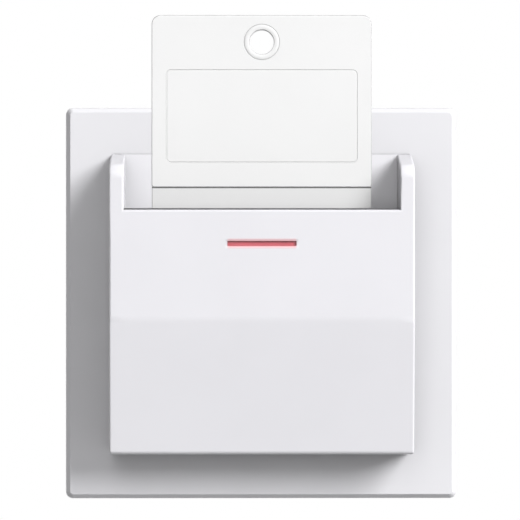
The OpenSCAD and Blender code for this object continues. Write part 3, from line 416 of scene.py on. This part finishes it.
# %% [markdown]
# ## Lofting a ring
# A picture frame has the same section all the way round, so it can be drawn as a section and
# carried round a square. Here each corner of the section becomes one closed loop of points, a
# rounded rectangle, and neighbouring loops are joined by quads. The section's own corners are
# softened first by a short curve, which gives the real edge radius without any modifier.

# %% Helpers for loops and lofts
def rounded_loop(half_x, z_low, z_high, low_round, high_round, y, steps=6):
    points = []
    corners = [(1, 1, high_round, 0), (-1, 1, high_round, 90),
               (-1, -1, low_round, 180), (1, -1, low_round, 270)]
    for side_x, side_z, radius, start in corners:
        x = side_x * (half_x - radius)
        z = z_high - radius if side_z > 0 else z_low + radius
        for step in range(steps + 1):
            turn = math.radians(start + 90 * step / steps)
            points.append(at(x + radius * math.cos(turn), y, z + radius * math.sin(turn)))
    return points


def loft(shape, loops, ring=False, caps=False):
    rows = [[shape.verts.new(p) for p in loop] for loop in loops]
    pairs = list(zip(rows, rows[1:])) + ([(rows[-1], rows[0])] if ring else [])
    for low, high in pairs:
        for i in range(len(low)):
            j = (i + 1) % len(low)
            shape.faces.new((low[i], low[j], high[j], high[i]))
    if caps:
        shape.faces.new(rows[0])
        shape.faces.new(rows[-1])
    return rows


print("a rounded loop has", len(rounded_loop(10, -10, 10, 1, 1, 0)), "points")

# %% Helpers for softened sections and bars
def soft_section(points, steps=6):
    section = []
    for k, (corner, reach) in enumerate(points):
        before = Vector(points[k - 1][0])
        after = Vector(points[(k + 1) % len(points)][0])
        corner = Vector(corner)
        if reach == 0:
            section.append(corner)
            continue
        start = corner + (before - corner).normalized() * reach
        end = corner + (after - corner).normalized() * reach
        for step in range(steps + 1):
            t = step / steps
            section.append(start * (1 - t) ** 2 + corner * (2 * t * (1 - t)) + end * t ** 2)
    return section


def soften(shape, points, edge):
    edges = list({e for v in points for e in v.link_edges})
    bmesh.ops.bevel(shape, geom=edges, offset=edge * mm, segments=2, affect="EDGES",
                    profile=0.6)


def soft_bar(shape, low, high, edge=0.15):
    made = bmesh.ops.create_cube(shape, size=1)["verts"]
    for v in made:
        share = [(c + 0.5) for c in v.co]
        v.co = at(*[low[k] + (high[k] - low[k]) * share[k] for k in range(3)])
    soften(shape, made, edge)


hook = soft_section([((0, 0), 0), ((1, 0), 0.2), ((1, 1), 0)])
print("one softened corner has", len(hook) - 2, "points")

# %% [markdown]
# ## The cover frame
# Seen from the front it is a square with a square window. Its sides stand nearly upright, with the
# slight lean that lets a moulding leave its mould, and a narrow bevel round the flat face catches
# the light. Behind the window a lip lets the pocket hold it down. The loops run from the foot, up
# the side, over the bevel and the face, down the window and back through the hollow, and close on
# themselves. The ribs behind the face are small softened bars.

# %% Section of the cover frame
half_foot, half_side, half_face, half_hollow = 40.5, 40.14, 39.35, 37.5
window_x, window_z, collar, lip_reach = 30.78, 30.6, 1.75, 1.8
lip_x, lip_z = window_x - lip_reach, window_z - lip_reach
collar_x, collar_z = window_x + collar, window_z + collar
foot_y, bevel_y, rim_y, lip_front_y, lip_back_y, hollow_y = -0.8, -7.4, -8.45, -4.0, -2.2, -6.3
foot_corner, side_corner, face_corner, hollow_corner = 1.7, 1.3, 0.8, 0.4
frame_section = [
    ((half_foot, half_foot, foot_corner, 0.0), 0.15),
    ((half_foot, half_foot, foot_corner, foot_y), 0.3),
    ((half_side, half_side, side_corner, bevel_y), 0.2),
    ((half_face, half_face, face_corner, FACE_Y), 0.2),
    ((window_x + 0.1, window_z + 0.45, face_corner, FACE_Y), 0.18),
    ((window_x, window_z, face_corner, rim_y), 0.02),
    ((window_x, window_z, face_corner, lip_front_y), 0.0),
    ((lip_x, lip_z, face_corner, lip_front_y), 0.1),
    ((lip_x, lip_z, face_corner, lip_back_y), 0.1),
    ((collar_x, collar_z, face_corner, lip_back_y), 0.1),
    ((collar_x, collar_z, face_corner, hollow_y), 0.0),
    ((half_hollow, half_hollow, hollow_corner, hollow_y), 0.0),
    ((half_hollow, half_hollow, hollow_corner, 0.0), 0.15),
]
print("the bevel round the face is", round(half_side - half_face, 2), "mm wide")

# %% Build the cover frame
frame_shape = bmesh.new()
loops = [rounded_loop(x, -z, z, r, r, y) for x, z, r, y in soft_section(frame_section)]
loft(frame_shape, loops, ring=True)
RIB_HALF, RIB_SINK, RIB_STEP = 0.6, 0.2, 22
rib_y = hollow_y - RIB_SINK
for offset in (-RIB_STEP, 0, RIB_STEP):
    low_x, high_x = offset - RIB_HALF, offset + RIB_HALF
    for side in (-1, 1):
        low, high = sorted((side * (collar_z - RIB_SINK), side * (half_hollow + RIB_SINK)))
        soft_bar(frame_shape, (low_x, rib_y, low), (high_x, lip_back_y, high))
        low, high = sorted((side * (collar_x - RIB_SINK), side * (half_hollow + RIB_SINK)))
        soft_bar(frame_shape, (low, rib_y, low_x), (high, lip_back_y, high_x))
make_piece("frame_moulding", frame_shape, "base", white_frame, ["cover_frame"])

# %% [markdown]
# ## The pocket's front
# This is the piece that everyone looks at: a front that folds back below its middle, two ears with
# sloping tips, and a slit for the lamp. Cutting it from a block with booleans would leave ragged
# edges to round, so its faces are laid out one by one as rows of points along the profile, shared
# between neighbours. A shallow slope breaks the slit's edge all round.

# %% Fold and ears
def arc(y, z, radius, start, end, steps):
    turns = [math.radians(start + (end - start) * i / steps) for i in range(steps + 1)]
    return [(y + radius * math.cos(a), z + radius * math.sin(a)) for a in turns]


FOLD_TILT, FOLD_ROUND, EAR_SLOPE, EAR_ROUND = 6.0, 14.0, 12.0, 3.0
fold_reach = FOLD_ROUND * math.tan(math.radians(FOLD_TILT / 2))
fold_arc = arc(FRONT_Y + FOLD_ROUND, FOLD_Z + fold_reach, FOLD_ROUND, 180 + FOLD_TILT, 180, 8)
lean, ear_y = math.radians(EAR_SLOPE), FRONT_Y + EAR_ROUND
ear_run = FACE_Y - ear_y + EAR_ROUND * math.sin(lean)
ear_z = TIP_Z - ear_run * math.tan(lean) - EAR_ROUND * math.cos(lean)
ear_rows = arc(ear_y, ear_z, EAR_ROUND, 180, 90 + EAR_SLOPE, 10) + [(FACE_Y, TIP_Z)]
print("the fold is", round(2 * fold_reach, 2), "mm tall; ears round off from", round(ear_z, 2))

# %% Rows of the profile, outside and inside
def front_at(z):
    return FRONT_Y + (FOLD_Z - z) * math.tan(math.radians(FOLD_TILT))


BOTTOM_ROUND, WALL = 0.8, 2.2
INNER_LOW, INNER_HIGH = SLIT_Z - SLIT_TALL, SLIT_Z + SLIT_TALL
SLIT_LOW, SLIT_HIGH = INNER_LOW - SLIT_BREAK, INNER_HIGH + SLIT_BREAK
SLIT_OUT, BREAK_Y = SLIT_HALF + SLIT_BREAK, FRONT_Y + SLIT_BREAK / 4
bottom_y = front_at(BOTTOM_Z + BOTTOM_ROUND) + BOTTOM_ROUND / math.cos(math.radians(FOLD_TILT))
bottom_arc = arc(bottom_y, BOTTOM_Z + BOTTOM_ROUND, BOTTOM_ROUND, 270, 180 + FOLD_TILT, 6)
outer_rows = [(FACE_Y, BOTTOM_Z)] + bottom_arc + fold_arc
outer_rows += [(FRONT_Y, SLIT_LOW), (FRONT_Y, SLIT_HIGH), (FRONT_Y, MOUTH_Z)]
inner_rows = [
    (FACE_Y, FLOOR_Z), (front_at(FLOOR_Z) + WALL, FLOOR_Z), (FRONT_INSIDE_Y, FOLD_Z),
    (FRONT_INSIDE_Y, INNER_LOW), (FRONT_INSIDE_Y, INNER_HIGH), (FRONT_INSIDE_Y, MOUTH_Z),
]
print("the profile has", len(outer_rows), "rows outside and", len(inner_rows), "inside")

# %% Helpers that lay faces between shared points
pocket_shape = bmesh.new()
shared_points = {}


def point(x, row):
    key = (round(x, 4), round(row[0], 4), round(row[1], 4))
    if key not in shared_points:
        shared_points[key] = pocket_shape.verts.new(at(x, *row))
    return shared_points[key]


def patch(corners):
    pocket_shape.faces.new([point(x, row) for x, row in corners])


def strips(rows, columns, hole=None, hole_columns=()):
    for low, high in zip(rows, rows[1:]):
        for left, right in zip(columns, columns[1:]):
            if low != hole or left not in hole_columns:
                patch([(left, low), (right, low), (right, high), (left, high)])


slit_columns = [-SLIT_OUT, -SLIT_HALF, SLIT_HALF, SLIT_OUT]
wall_columns = [-POCKET_HALF, *slit_columns, POCKET_HALF]
all_columns = [-HALF_WIDTH, *wall_columns, HALF_WIDTH]
print("faces lie between", len(all_columns), "columns")

# %% Lay out the walls and the slit
strips(outer_rows, all_columns, (FRONT_Y, SLIT_LOW), slit_columns[:3])
strips(inner_rows, wall_columns, (FRONT_INSIDE_Y, INNER_LOW), slit_columns[1:2])
strips([outer_rows[-1], inner_rows[-1]], wall_columns)
strips([outer_rows[0], inner_rows[0]], wall_columns)
for outside, inside in ((SLIT_LOW, INNER_LOW), (SLIT_HIGH, INNER_HIGH)):
    rim = [(x, (FRONT_Y, outside)) for x in slit_columns]
    patch(rim + [(x, (BREAK_Y, inside)) for x in (SLIT_HALF, -SLIT_HALF)])
    strips([(BREAK_Y, inside), (FRONT_INSIDE_Y, inside)], slit_columns[1:3])
for side in (-1, 1):
    outer, inner = side * SLIT_OUT, side * SLIT_HALF
    patch([(outer, (FRONT_Y, SLIT_LOW)), (outer, (FRONT_Y, SLIT_HIGH)),
           (inner, (BREAK_Y, INNER_HIGH)), (inner, (BREAK_Y, INNER_LOW))])
    patch([(inner, (BREAK_Y, INNER_LOW)), (inner, (BREAK_Y, INNER_HIGH)),
           (inner, (FRONT_INSIDE_Y, INNER_HIGH)), (inner, (FRONT_INSIDE_Y, INNER_LOW))])
print("walls and slit laid out with", len(pocket_shape.faces), "faces")

# %% Lay out the sides and ears
for side in (-1, 1):
    outer, inner = side * HALF_WIDTH, side * POCKET_HALF
    strips([outer_rows[-1]] + ear_rows, sorted((outer, inner)))
    patch([(outer, row) for row in outer_rows + ear_rows])
    patch([(inner, row) for row in inner_rows + [outer_rows[-1]] + ear_rows])
    patch([(inner, outer_rows[0]), (inner, inner_rows[0]), (inner, ear_rows[-1]),
           (outer, ear_rows[-1]), (outer, outer_rows[0])])
bmesh.ops.recalc_face_normals(pocket_shape, faces=pocket_shape.faces)
print("pocket front laid out with", len(pocket_shape.faces), "faces")

# %% [markdown]
# ## Rounding the pocket
# The real moulding's outer edges are rounded by about half a millimetre, and they carry the thin
# light and dark lines in the photograph. A Bevel modifier would round every edge, also where the
# pocket meets the plate behind it and where the slit is crisp. So the edges are picked by where
# they lie, and only those are bevelled in the mesh.

# %% Choose the outer edges
NEAR = 1e-3


def near(value, target):
    return abs(value / mm - target) < NEAR


def on_row(v, row):
    return near(v.co.y, row[0]) and near(v.co.z, row[1])


def rounded_edge(edge):
    a, b = edge.verts
    if all(near(v.co.y, FACE_Y) for v in (a, b)):
        return False
    if all(near(abs(v.co.x), HALF_WIDTH) for v in (a, b)) and near(a.co.x - b.co.x, 0):
        return True
    if near(a.co.x - b.co.x, 0) and near(abs(a.co.x), POCKET_HALF):
        return all(v.co.z / mm > MOUTH_Z - NEAR and not on_row(v, inner_rows[-1]) for v in (a, b))
    if any(abs(v.co.x) / mm > POCKET_HALF + NEAR for v in (a, b)):
        return False
    return any(on_row(a, row) and on_row(b, row) for row in (outer_rows[-1], inner_rows[-1]))


soft_edges = [e for e in pocket_shape.edges if rounded_edge(e)]
print("edges to round:", len(soft_edges))

# %% Round them and keep the slit's rim crisp
def on_slit_rim(v):
    in_width = abs(v.co.x) / mm < SLIT_OUT + NEAR
    in_height = SLIT_LOW - NEAR < v.co.z / mm < SLIT_HIGH + NEAR
    return near(v.co.y, FRONT_Y) and in_width and in_height


EDGE_ROUND = 0.45
bmesh.ops.bevel(pocket_shape, geom=soft_edges, offset=EDGE_ROUND * mm, segments=4,
                affect="EDGES", profile=0.5)
rim_edges = [e for e in pocket_shape.edges if all(on_slit_rim(v) for v in e.verts)]
for edge in rim_edges:
    edge.smooth = False
print("crisp edges round the slit:", len(rim_edges))

# %% [markdown]
# ## Inside the pocket
# A thin lip runs along the mouth, two ribs inside the front wall guide the card, and four posts
# take the screws from behind. They could be pieces of their own, but the real pocket is one
# moulding with them, so they join its mesh: lip and ribs as softened prisms, and posts as short
# lofts of circles with closed ends.

# %% Helpers for prisms and circles
def soft_prism(shape, outline, x_low, x_high, edge=0.15):
    left = [shape.verts.new(at(x_low, y, z)) for y, z in outline]
    right = [shape.verts.new(at(x_high, y, z)) for y, z in outline]
    shape.faces.new(left)
    shape.faces.new(right)
    for i in range(len(left)):
        j = (i + 1) % len(left)
        shape.faces.new((left[i], left[j], right[j], right[i]))
    soften(shape, left + right, edge)


def circle_loop(radius, x, y, z, sides):
    turns = [2 * math.pi * i / sides for i in range(sides)]
    return [at(x + radius * math.cos(a), y, z + radius * math.sin(a)) for a in turns]


lip_low, lip_high = MOUTH_Z - 0.1, MOUTH_Z + 0.3
lip = [(-19.5, lip_low), (-20.0, lip_high), (FRONT_INSIDE_Y, lip_high), (FRONT_INSIDE_Y, lip_low)]
print("the lip is", round(lip_high - lip_low, 2), "mm tall")

# %% Add the lip, the guides and the posts
guide_front_y, guide_back_y, guide_foot_z = -19.0, -15.9, -7.3
guide = [(guide_front_y, guide_foot_z), (guide_back_y, guide_foot_z),
         (guide_back_y, 15.1), (guide_front_y, 17.6)]
guide_inner, guide_outer, post_x = 16.4, 17.6, 25.85
post_sections = [(2.25, -13.3), (2.4, -13.15), (2.4, FACE_Y)]
soft_prism(pocket_shape, lip, -POCKET_HALF, POCKET_HALF, 0.02)
for side in (-1, 1):
    soft_prism(pocket_shape, guide, *sorted((side * guide_inner, side * guide_outer)))
    for post_z in (-26.2, 13.1):
        post_loops = [circle_loop(r, side * post_x, y, post_z, 24) for r, y in post_sections]
        loft(pocket_shape, post_loops, caps=True)
make_piece("pocket_front", pocket_shape, "base", white_pocket, ["card_holder"])

# %% [markdown]
# ## The red lens
# A red bar lies half a millimetre back in the slit, and its rim behind the wall holds it. The
# slit's upper edge shades it, so it looks darker at the top. It could glow, but in daylight such a
# lens only looks pink-red where light enters it, so it stays unlit. The bar is a softened prism,
# and its rim a softened block.

# %% Build the lens
lens_shape = bmesh.new()
lens_low, lens_high = INNER_LOW + 0.01, INNER_HIGH - 0.01
lens_half, lens_foot_y = SLIT_HALF - 0.03, -18.7
rim_low, rim_high = (-8.5, FRONT_INSIDE_Y, 10.47), (8.5, -17.8, 14.53)
lens_profile = [(lens_foot_y, lens_low), (-20.54, lens_low), (-20.5, lens_low + 0.5),
                (-20.46, lens_high), (lens_foot_y, lens_high)]
soft_prism(lens_shape, lens_profile, -lens_half, lens_half, 0.05)
soft_bar(lens_shape, rim_low, rim_high, 0.2)
make_piece("slit_lens", lens_shape, "base", red_slit, ["indicator_lens"])

# %% [markdown]
# ## The key tag
# A thick handle, a thin blade, a raised ring round the hole and a shallow bed for the label. The
# handle's flat faces have holes in them, which a mesh face can't have, so the loops that bound
# each flat are filled together with triangles. The blade is a second thin loft whose top hides
# inside the handle.

# %% Loops of the handle
front_y, back_y, edge_round = CARD_Y - 1.0, CARD_Y + 1.0, 0.22
step_corner, tag_corner = 0.4, 1.8
quarter = [math.pi / 8 * k for k in range(5)]
side_profile = [(edge_round * (1 - math.sin(t)), edge_round * (1 - math.cos(t))) for t in quarter]


def handle_loop(inset, y):
    low_z, high_z = STEP_Z + 0.15 * inset, CARD_TOP_Z - 1.3 * inset
    return rounded_loop(CARD_HALF - 0.55 * inset, low_z, high_z, step_corner, tag_corner - inset, y)


tag_shape = bmesh.new()
handle_loops = [handle_loop(inset, front_y + depth) for inset, depth in side_profile]
handle_loops += [handle_loop(inset, back_y - depth) for inset, depth in side_profile[::-1]]
handle = loft(tag_shape, handle_loops)
print("the handle is", round(CARD_TOP_Z - STEP_Z, 2), "mm tall, in", len(handle), "loops")

# %% Ring round the hole
RING_Z, RING_SIDES = 53.3, 48
ring_profile = [(3.72, 0), (3.62, -0.044), (3.53, 0), (3.44, 0.025), (3.28, 0.055), (3.1, 0.06),
                (2.9, 0.055), (2.72, 0.03), (2.6, 0.01), (2.54, -0.01), (2.5, -0.06), (2.49, -0.2)]
ring_steps = [(r, front_y - rise) for r, rise in ring_profile]
ring_steps += [(r, back_y + rise) for r, rise in ring_profile[::-1]]
ring = loft(tag_shape, [circle_loop(r, 0, y, RING_Z, RING_SIDES) for r, y in ring_steps])
print("the hole is", 2 * ring_profile[-1][0], "mm wide")

# %% Bed for the label
LABEL_Z = 38.2
bed_x, bed_z, bed_corner = 19.45, 9.45, 0.95


def bed_loop(grow, y):
    low_z, high_z = LABEL_Z - bed_z - grow, LABEL_Z + bed_z + grow
    return rounded_loop(bed_x + grow, low_z, high_z, bed_corner, bed_corner, y)


bed_steps = [(0.08, front_y), (0.02, front_y + 0.03), (0, front_y + 0.1), (0, front_y + 0.35)]
bed = loft(tag_shape, [bed_loop(grow, y) for grow, y in bed_steps])
tag_shape.faces.new(bed[-1])
print("the bed is", 2 * bed_x, "mm wide and", 2 * bed_z, "mm tall")

# %% Fill the flats
def fill_flat(shape, *loops):
    edges = []
    for loop in loops:
        for i in range(len(loop)):
            a, b = loop[i], loop[(i + 1) % len(loop)]
            edges.append(shape.edges.get((a, b)) or shape.edges.new((a, b)))
            edges[-1].smooth = False
    bmesh.ops.triangle_fill(shape, use_beauty=True, use_dissolve=False, edges=edges)


fill_flat(tag_shape, handle[0], ring[0], bed[0])
fill_flat(tag_shape, handle[-1], ring[-1])
print("the handle now has", len(tag_shape.faces), "faces")

# %% Add the blade
blade_half, blade_top_z, hidden_corner = CARD_HALF - 0.05, STEP_Z + 1, 0.1


def blade_loop(inset, y):
    return rounded_loop(blade_half - inset, CARD_Z + inset, blade_top_z,
                        tag_corner - inset, hidden_corner, y)


blade_profile = [(0.2, -0.4), (0.06, -0.34), (0, -0.2), (0, 0.2), (0.06, 0.34), (0.2, 0.4)]
blade_loops = [blade_loop(inset, CARD_Y + depth) for inset, depth in blade_profile]
loft(tag_shape, blade_loops, caps=True)
tag = make_piece("tag_moulding", tag_shape, "card", white_tag, ["key_card"])

# %% [markdown]
# ## The label
# A write-on panel of film lies in the bed, level with the handle, with a fine gap round it. A
# second colour on the handle could show it, but the gap would have no depth and catch no light. So
# it is a piece of its own, a little smaller than the bed, with a soft edge. In the photograph the
# tag throws no shadow on the frame, so its shadow and the label's are turned off.

# %% Build the label
label_x, label_z, label_corner = 19.3, 9.3, 0.8


def label_loop(inset, y):
    half_z, corner = label_z - inset, label_corner - inset
    return rounded_loop(label_x - inset, LABEL_Z - half_z, LABEL_Z + half_z, corner, corner, y)


label_shape = bmesh.new()
label_steps = [(0.1, front_y), (0.03, front_y + 0.03), (0, front_y + 0.1), (0, front_y + 0.34)]
loft(label_shape, [label_loop(inset, y) for inset, y in label_steps], caps=True)
label = make_piece("label_panel", label_shape, "card", label_white, ["card_label"])
for part in (tag, label):
    part.visible_shadow = part.visible_diffuse = False

# %% [markdown]
# ## Springs
# Four coil springs work inside: two lift the carriage, one opens the contact and one presses the
# bridge. Each is wire wound round an axis, so a small circle is carried along a helix and the
# tubes are closed at both ends. The end turns lie closer together, as on a real wound spring. A
# spring between two moving pieces is tied to no body, and its place is baked into its points.

# %% Helper that winds a coil
WIRE, WIRE_SIDES, TURN_STEPS, END_EASE = 0.25, 10, 28, 0.55


def coil_rings(base, along, across, radius, turns, length):
    third = along.cross(across)
    steps = TURN_STEPS * turns
    rings = []
    for i in range(steps + 1):
        t = i / steps
        eased = t - END_EASE * math.sin(4 * math.pi * t) / (4 * math.pi)
        turn = 2 * math.pi * turns * t
        out = across * math.cos(turn) + third * math.sin(turn)
        middle = base + (along * (WIRE + (length - 2 * WIRE) * eased) + out * radius) * mm
        angles = [2 * math.pi * k / WIRE_SIDES for k in range(WIRE_SIDES)]
        ways = [out * math.cos(a) + along * math.sin(a) for a in angles]
        rings.append([middle + way * WIRE * mm for way in ways])
    return rings


print("spring wire is", 2 * WIRE, "mm thick")

# %% Helper that makes a spring
def wind(name, base, along, radius, turns, length, body, stands_for, stretch_to=None):
    shape = bmesh.new()
    base, along, across = at(*base), Vector(along), Vector((1, 0, 0))
    loft(shape, coil_rings(base, along, across, radius, turns, length), caps=True)
    rides_on = None if stretch_to else body
    piece = make_piece(name, shape, rides_on, drawn_wire, [stands_for])
    if stretch_to:
        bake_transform(piece)


SEAT_ROOM = 0.05
bridge_seat_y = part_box("bridge_spring")[0].y / mm - SEAT_ROOM
return_seat_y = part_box("carrier_spring")[1].y / mm + SEAT_ROOM
print("springs sit", round(bridge_seat_y, 2), "and", round(return_seat_y, 2), "mm from the wall")

# %% Wind the four springs
CONTACT_Z, LIFT_X, LIFT_Y, LIFT_Z = -9, 16, -11.6, -26.6
for side, hand in ((-LIFT_X, "left"), (LIFT_X, "right")):
    wind("lift_spring_" + hand, (side, LIFT_Y, LIFT_Z), (0, 0, 1), 2.1, 5, 6.3,
         "base", "carriage_spring_" + hand, "carriage")
wind("bridge_press_spring", (0, bridge_seat_y, CONTACT_Z), (0, 1, 0), 1.6, 3, 3.6,
     "contact", "bridge_spring")
wind("return_spring", (0, return_seat_y, CONTACT_Z), (0, -1, 0), 3.0, 6, 8.0,
     "base", "carrier_spring", "contact")

# %% [markdown]
# ## Finishes for the solids that stay
# The other solids have the right shape already. A Weld joins the points that the file format split,
# a narrow Bevel gives the moulded or stamped edge that catches light, and each gets its finish.
# Sheet metal and thin walls get a finer edge than the rest.

# %% Choose the finishes
finishes = {
    "pocket_back": plate_white_with_painted_bounce, "holder_screws": zinc_screw, "card_grip_springs": drawn_wire,
    "grip_rivets": zinc_screw, "card_carriage": grey_carriage, "switch_cam": orange_cam,
    "cam_pin": zinc_screw, "lamp_board": green_board, "locator_lamp": red_lamp,
    "dropper_resistor": tan_resistor, "lamp_pins": stamped_brass, "mounting_strap": zinc_sheet,
    "switch_housing": dark_housing, "housing_lid": grey_lid, "housing_screws": zinc_screw,
    "flange_screws": zinc_screw, "contact_carrier": ivory_carrier, "contact_bridge": stamped_copper,
    "bridge_tips": silver_tip, "line_contact": stamped_brass, "load_contact": stamped_brass,
    "fixed_tips": silver_tip, "neutral_strip": stamped_brass, "terminal_clamps": stamped_brass,
    "terminal_screws": zinc_screw,
}
thin = {"pocket_back", "card_grip_springs", "mounting_strap", "line_contact", "load_contact",
        "neutral_strip", "contact_bridge"}
print("solids to dress:", len(finishes), "of which thin:", len(thin))

# %% Dress the solids
SPLIT_GAP, FINE_EDGE, PLAIN_EDGE, BEVEL_ANGLE = 0.000002, 0.00006, 0.0002, 35
for name, finish in finishes.items():
    solid = nodes[name]
    solid.data.materials.clear()
    solid.data.materials.append(finish)
    weld = solid.modifiers.new("weld", "WELD")
    weld.merge_threshold = SPLIT_GAP
    bevel = solid.modifiers.new("edge", "BEVEL")
    bevel.width = FINE_EDGE if name in thin else PLAIN_EDGE
    bevel.segments = 2
    bevel.limit_method = "ANGLE"
    bevel.angle_limit = math.radians(BEVEL_ANGLE)
    even_normals(solid)
bare = sorted(n for n, o in nodes.items() if n not in finishes and not o.hide_render)
print("dressed", len(finishes), "solids; still bare:", bare)

# %% [markdown]
# ## Camera
# The photograph was taken from a good distance with a long lens, nearly square on, a little to the
# left of the middle. The distance sets how much bigger the pocket's front looks than the frame, so
# it is matched first, and the lens then sets the size in the picture.

# %% Set up the camera
LENS_LENGTH, SENSOR = 244.5, 36
camera_spot, aim_spot = at(-9, -735, 8.9), at(-0.16, 0, 8.9)
lens_data = bpy.data.cameras.new("studio_camera")
lens_data.lens, lens_data.sensor_width = LENS_LENGTH, SENSOR
camera = bpy.data.objects.new("studio_camera", lens_data)
bpy.context.scene.collection.objects.link(camera)
camera.location = camera_spot
camera.rotation_euler = (aim_spot - camera_spot).to_track_quat("-Z", "Y").to_euler()
bpy.context.scene.camera = camera
print("camera stands", round(-camera.location.y, 3), "m from the wall")

# %% [markdown]
# ## Lamps
# A big soft lamp stands at the upper right in front, so that the pocket throws its shadow to the
# lower left. A tall weak one in front fills that shadow, a weaker one from the lower right lifts
# the edges there, and one behind shows the insert in the other views. That one isn't mirrored in
# the steel, which would turn white. Light isn't passed on from one white surface to the next,
# because the photograph's shadows stay grey right beside white walls.

# %% Helper that hangs a lamp
LAMP_AWAY = 2.4


def area_lamp(name, turn, rise, width, height, power):
    data = bpy.data.lights.new(name, "AREA")
    data.shape = "RECTANGLE"
    data.size, data.size_y, data.energy = width, height, power
    lamp = bpy.data.objects.new(name, data)
    bpy.context.scene.collection.objects.link(lamp)
    turn, rise = math.radians(turn), math.radians(rise)
    level = math.cos(rise)
    way = Vector((math.sin(turn) * level, -math.cos(turn) * level, math.sin(rise)))
    lamp.location = way * LAMP_AWAY
    lamp.rotation_euler = (-way).to_track_quat("-Z", "Y").to_euler()
    lamp.visible_camera = False
    print(name, "hangs at", [round(v, 2) for v in lamp.location])
    return lamp


print("lamps hang", LAMP_AWAY, "m from the middle of the frame")

# %% Hang the lamps
area_lamp("key_lamp", turn=51, rise=30.4, width=1.0, height=1.45, power=67.6)
area_lamp("front_lamp", turn=-10, rise=18.8, width=1.2, height=3.1, power=14.9)
area_lamp("low_lamp", turn=80, rise=-30, width=1.0, height=1.0, power=5.8)
back_lamp = area_lamp("back_lamp", turn=180, rise=0, width=0.6, height=0.6, power=40.0)
back_lamp.visible_glossy = False
bpy.context.scene.cycles.diffuse_bounces = 0
bpy.context.scene.view_settings.view_transform = "Standard"

# %% [markdown]
# ## The sky
# An even sky fills the shadows a little. The background could be lit until it is white, but that
# light would fall on the object too and wash it out. So the kind of ray decides: the camera and
# mirror-like surfaces see white, and the plastic gets only the weak fill.

# %% Helper that shows white to the camera
def seen_white(tree, plain, white, share=1.0):
    path = tree.nodes.new("ShaderNodeLightPath")
    seen = path.outputs["Is Camera Ray"]
    for ray in ("Is Glossy Ray", "Is Transmission Ray"):
        more = tree.nodes.new("ShaderNodeMath")
        more.operation = "MAXIMUM"
        tree.links.new(seen, more.inputs[0])
        tree.links.new(path.outputs[ray], more.inputs[1])
        seen = more.outputs["Value"]
    part = tree.nodes.new("ShaderNodeMath")
    part.operation = "MULTIPLY"
    part.inputs[1].default_value = share
    tree.links.new(seen, part.inputs[0])
    choice = tree.nodes.new("ShaderNodeMixShader")
    tree.links.new(part.outputs["Value"], choice.inputs["Fac"])
    tree.links.new(plain, choice.inputs[1])
    tree.links.new(white, choice.inputs[2])
    return choice.outputs["Shader"]


FILL = 0.188
print("the sky fills the shadows with", FILL)

# %% Hang the sky
sky = bpy.data.worlds.new("studio_sky")
bpy.context.scene.world = sky
sky.use_nodes = True
tree = sky.node_tree
fill = tree.nodes["Background"]
white = tree.nodes.new("ShaderNodeBackground")
for ground, strength in ((fill, FILL), (white, 1.0)):
    ground.inputs["Color"].default_value = (1, 1, 1, 1)
    ground.inputs["Strength"].default_value = strength
shown = seen_white(tree, fill.outputs["Background"], white.outputs["Background"])
tree.links.new(shown, tree.nodes["World Output"].inputs["Surface"])
print("sky hung:", sky.name)

# %% [markdown]
# ## The floor
# A pale floor lies well below the switch, as in a studio. It could be left out, because the
# photograph's ground is white, but then nothing would take the object's shadow. So it is mostly
# white to the camera, as the sky is, and the rest of it stays an ordinary surface that keeps the
# shadow. It is marked as stage, because it isn't part of the object.

# %% Lay the floor
FLOOR_DROP, FLOOR_HALF = 0.22, 1.5
floor_shape = bmesh.new()
bmesh.ops.create_grid(floor_shape, x_segments=8, y_segments=8, size=FLOOR_HALF)
floor_mesh = bpy.data.meshes.new("pale_floor")
floor_shape.to_mesh(floor_mesh)
floor_shape.free()
floor = bpy.data.objects.new("pale_floor", floor_mesh)
bpy.context.scene.collection.objects.link(floor)
floor.location = (0, 0, -FLOOR_DROP)
floor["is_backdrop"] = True
floor.visible_diffuse = floor.visible_shadow = False
print("floor lies", FLOOR_DROP, "m below the middle of the frame")

# %% Finish the floor
FLOOR_WHITE = 0.6
pale, tree, shader, place = new_finish("pale_floor")
colour_drift(tree, noise(tree, place, 6, 2), grey(0.88), grey(0.9), shader.inputs["Base Color"])
shader.inputs["Roughness"].default_value = 0.9
glow = tree.nodes.new("ShaderNodeEmission")
glow.inputs["Strength"].default_value = 1.0
shown = seen_white(tree, shader.outputs["BSDF"], glow.outputs["Emission"], FLOOR_WHITE)
tree.links.new(shown, tree.nodes["Material Output"].inputs["Surface"])
floor_mesh.materials.append(pale)
print("the floor is", FLOOR_WHITE, "white to the camera")

# %% Compare the boxes and finish
new_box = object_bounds()
grown = [[round((b - a) * 1000, 3) for a, b in zip(p, q)] for p, q in zip(cad_box, new_box)]
print("grown by mm:", grown)
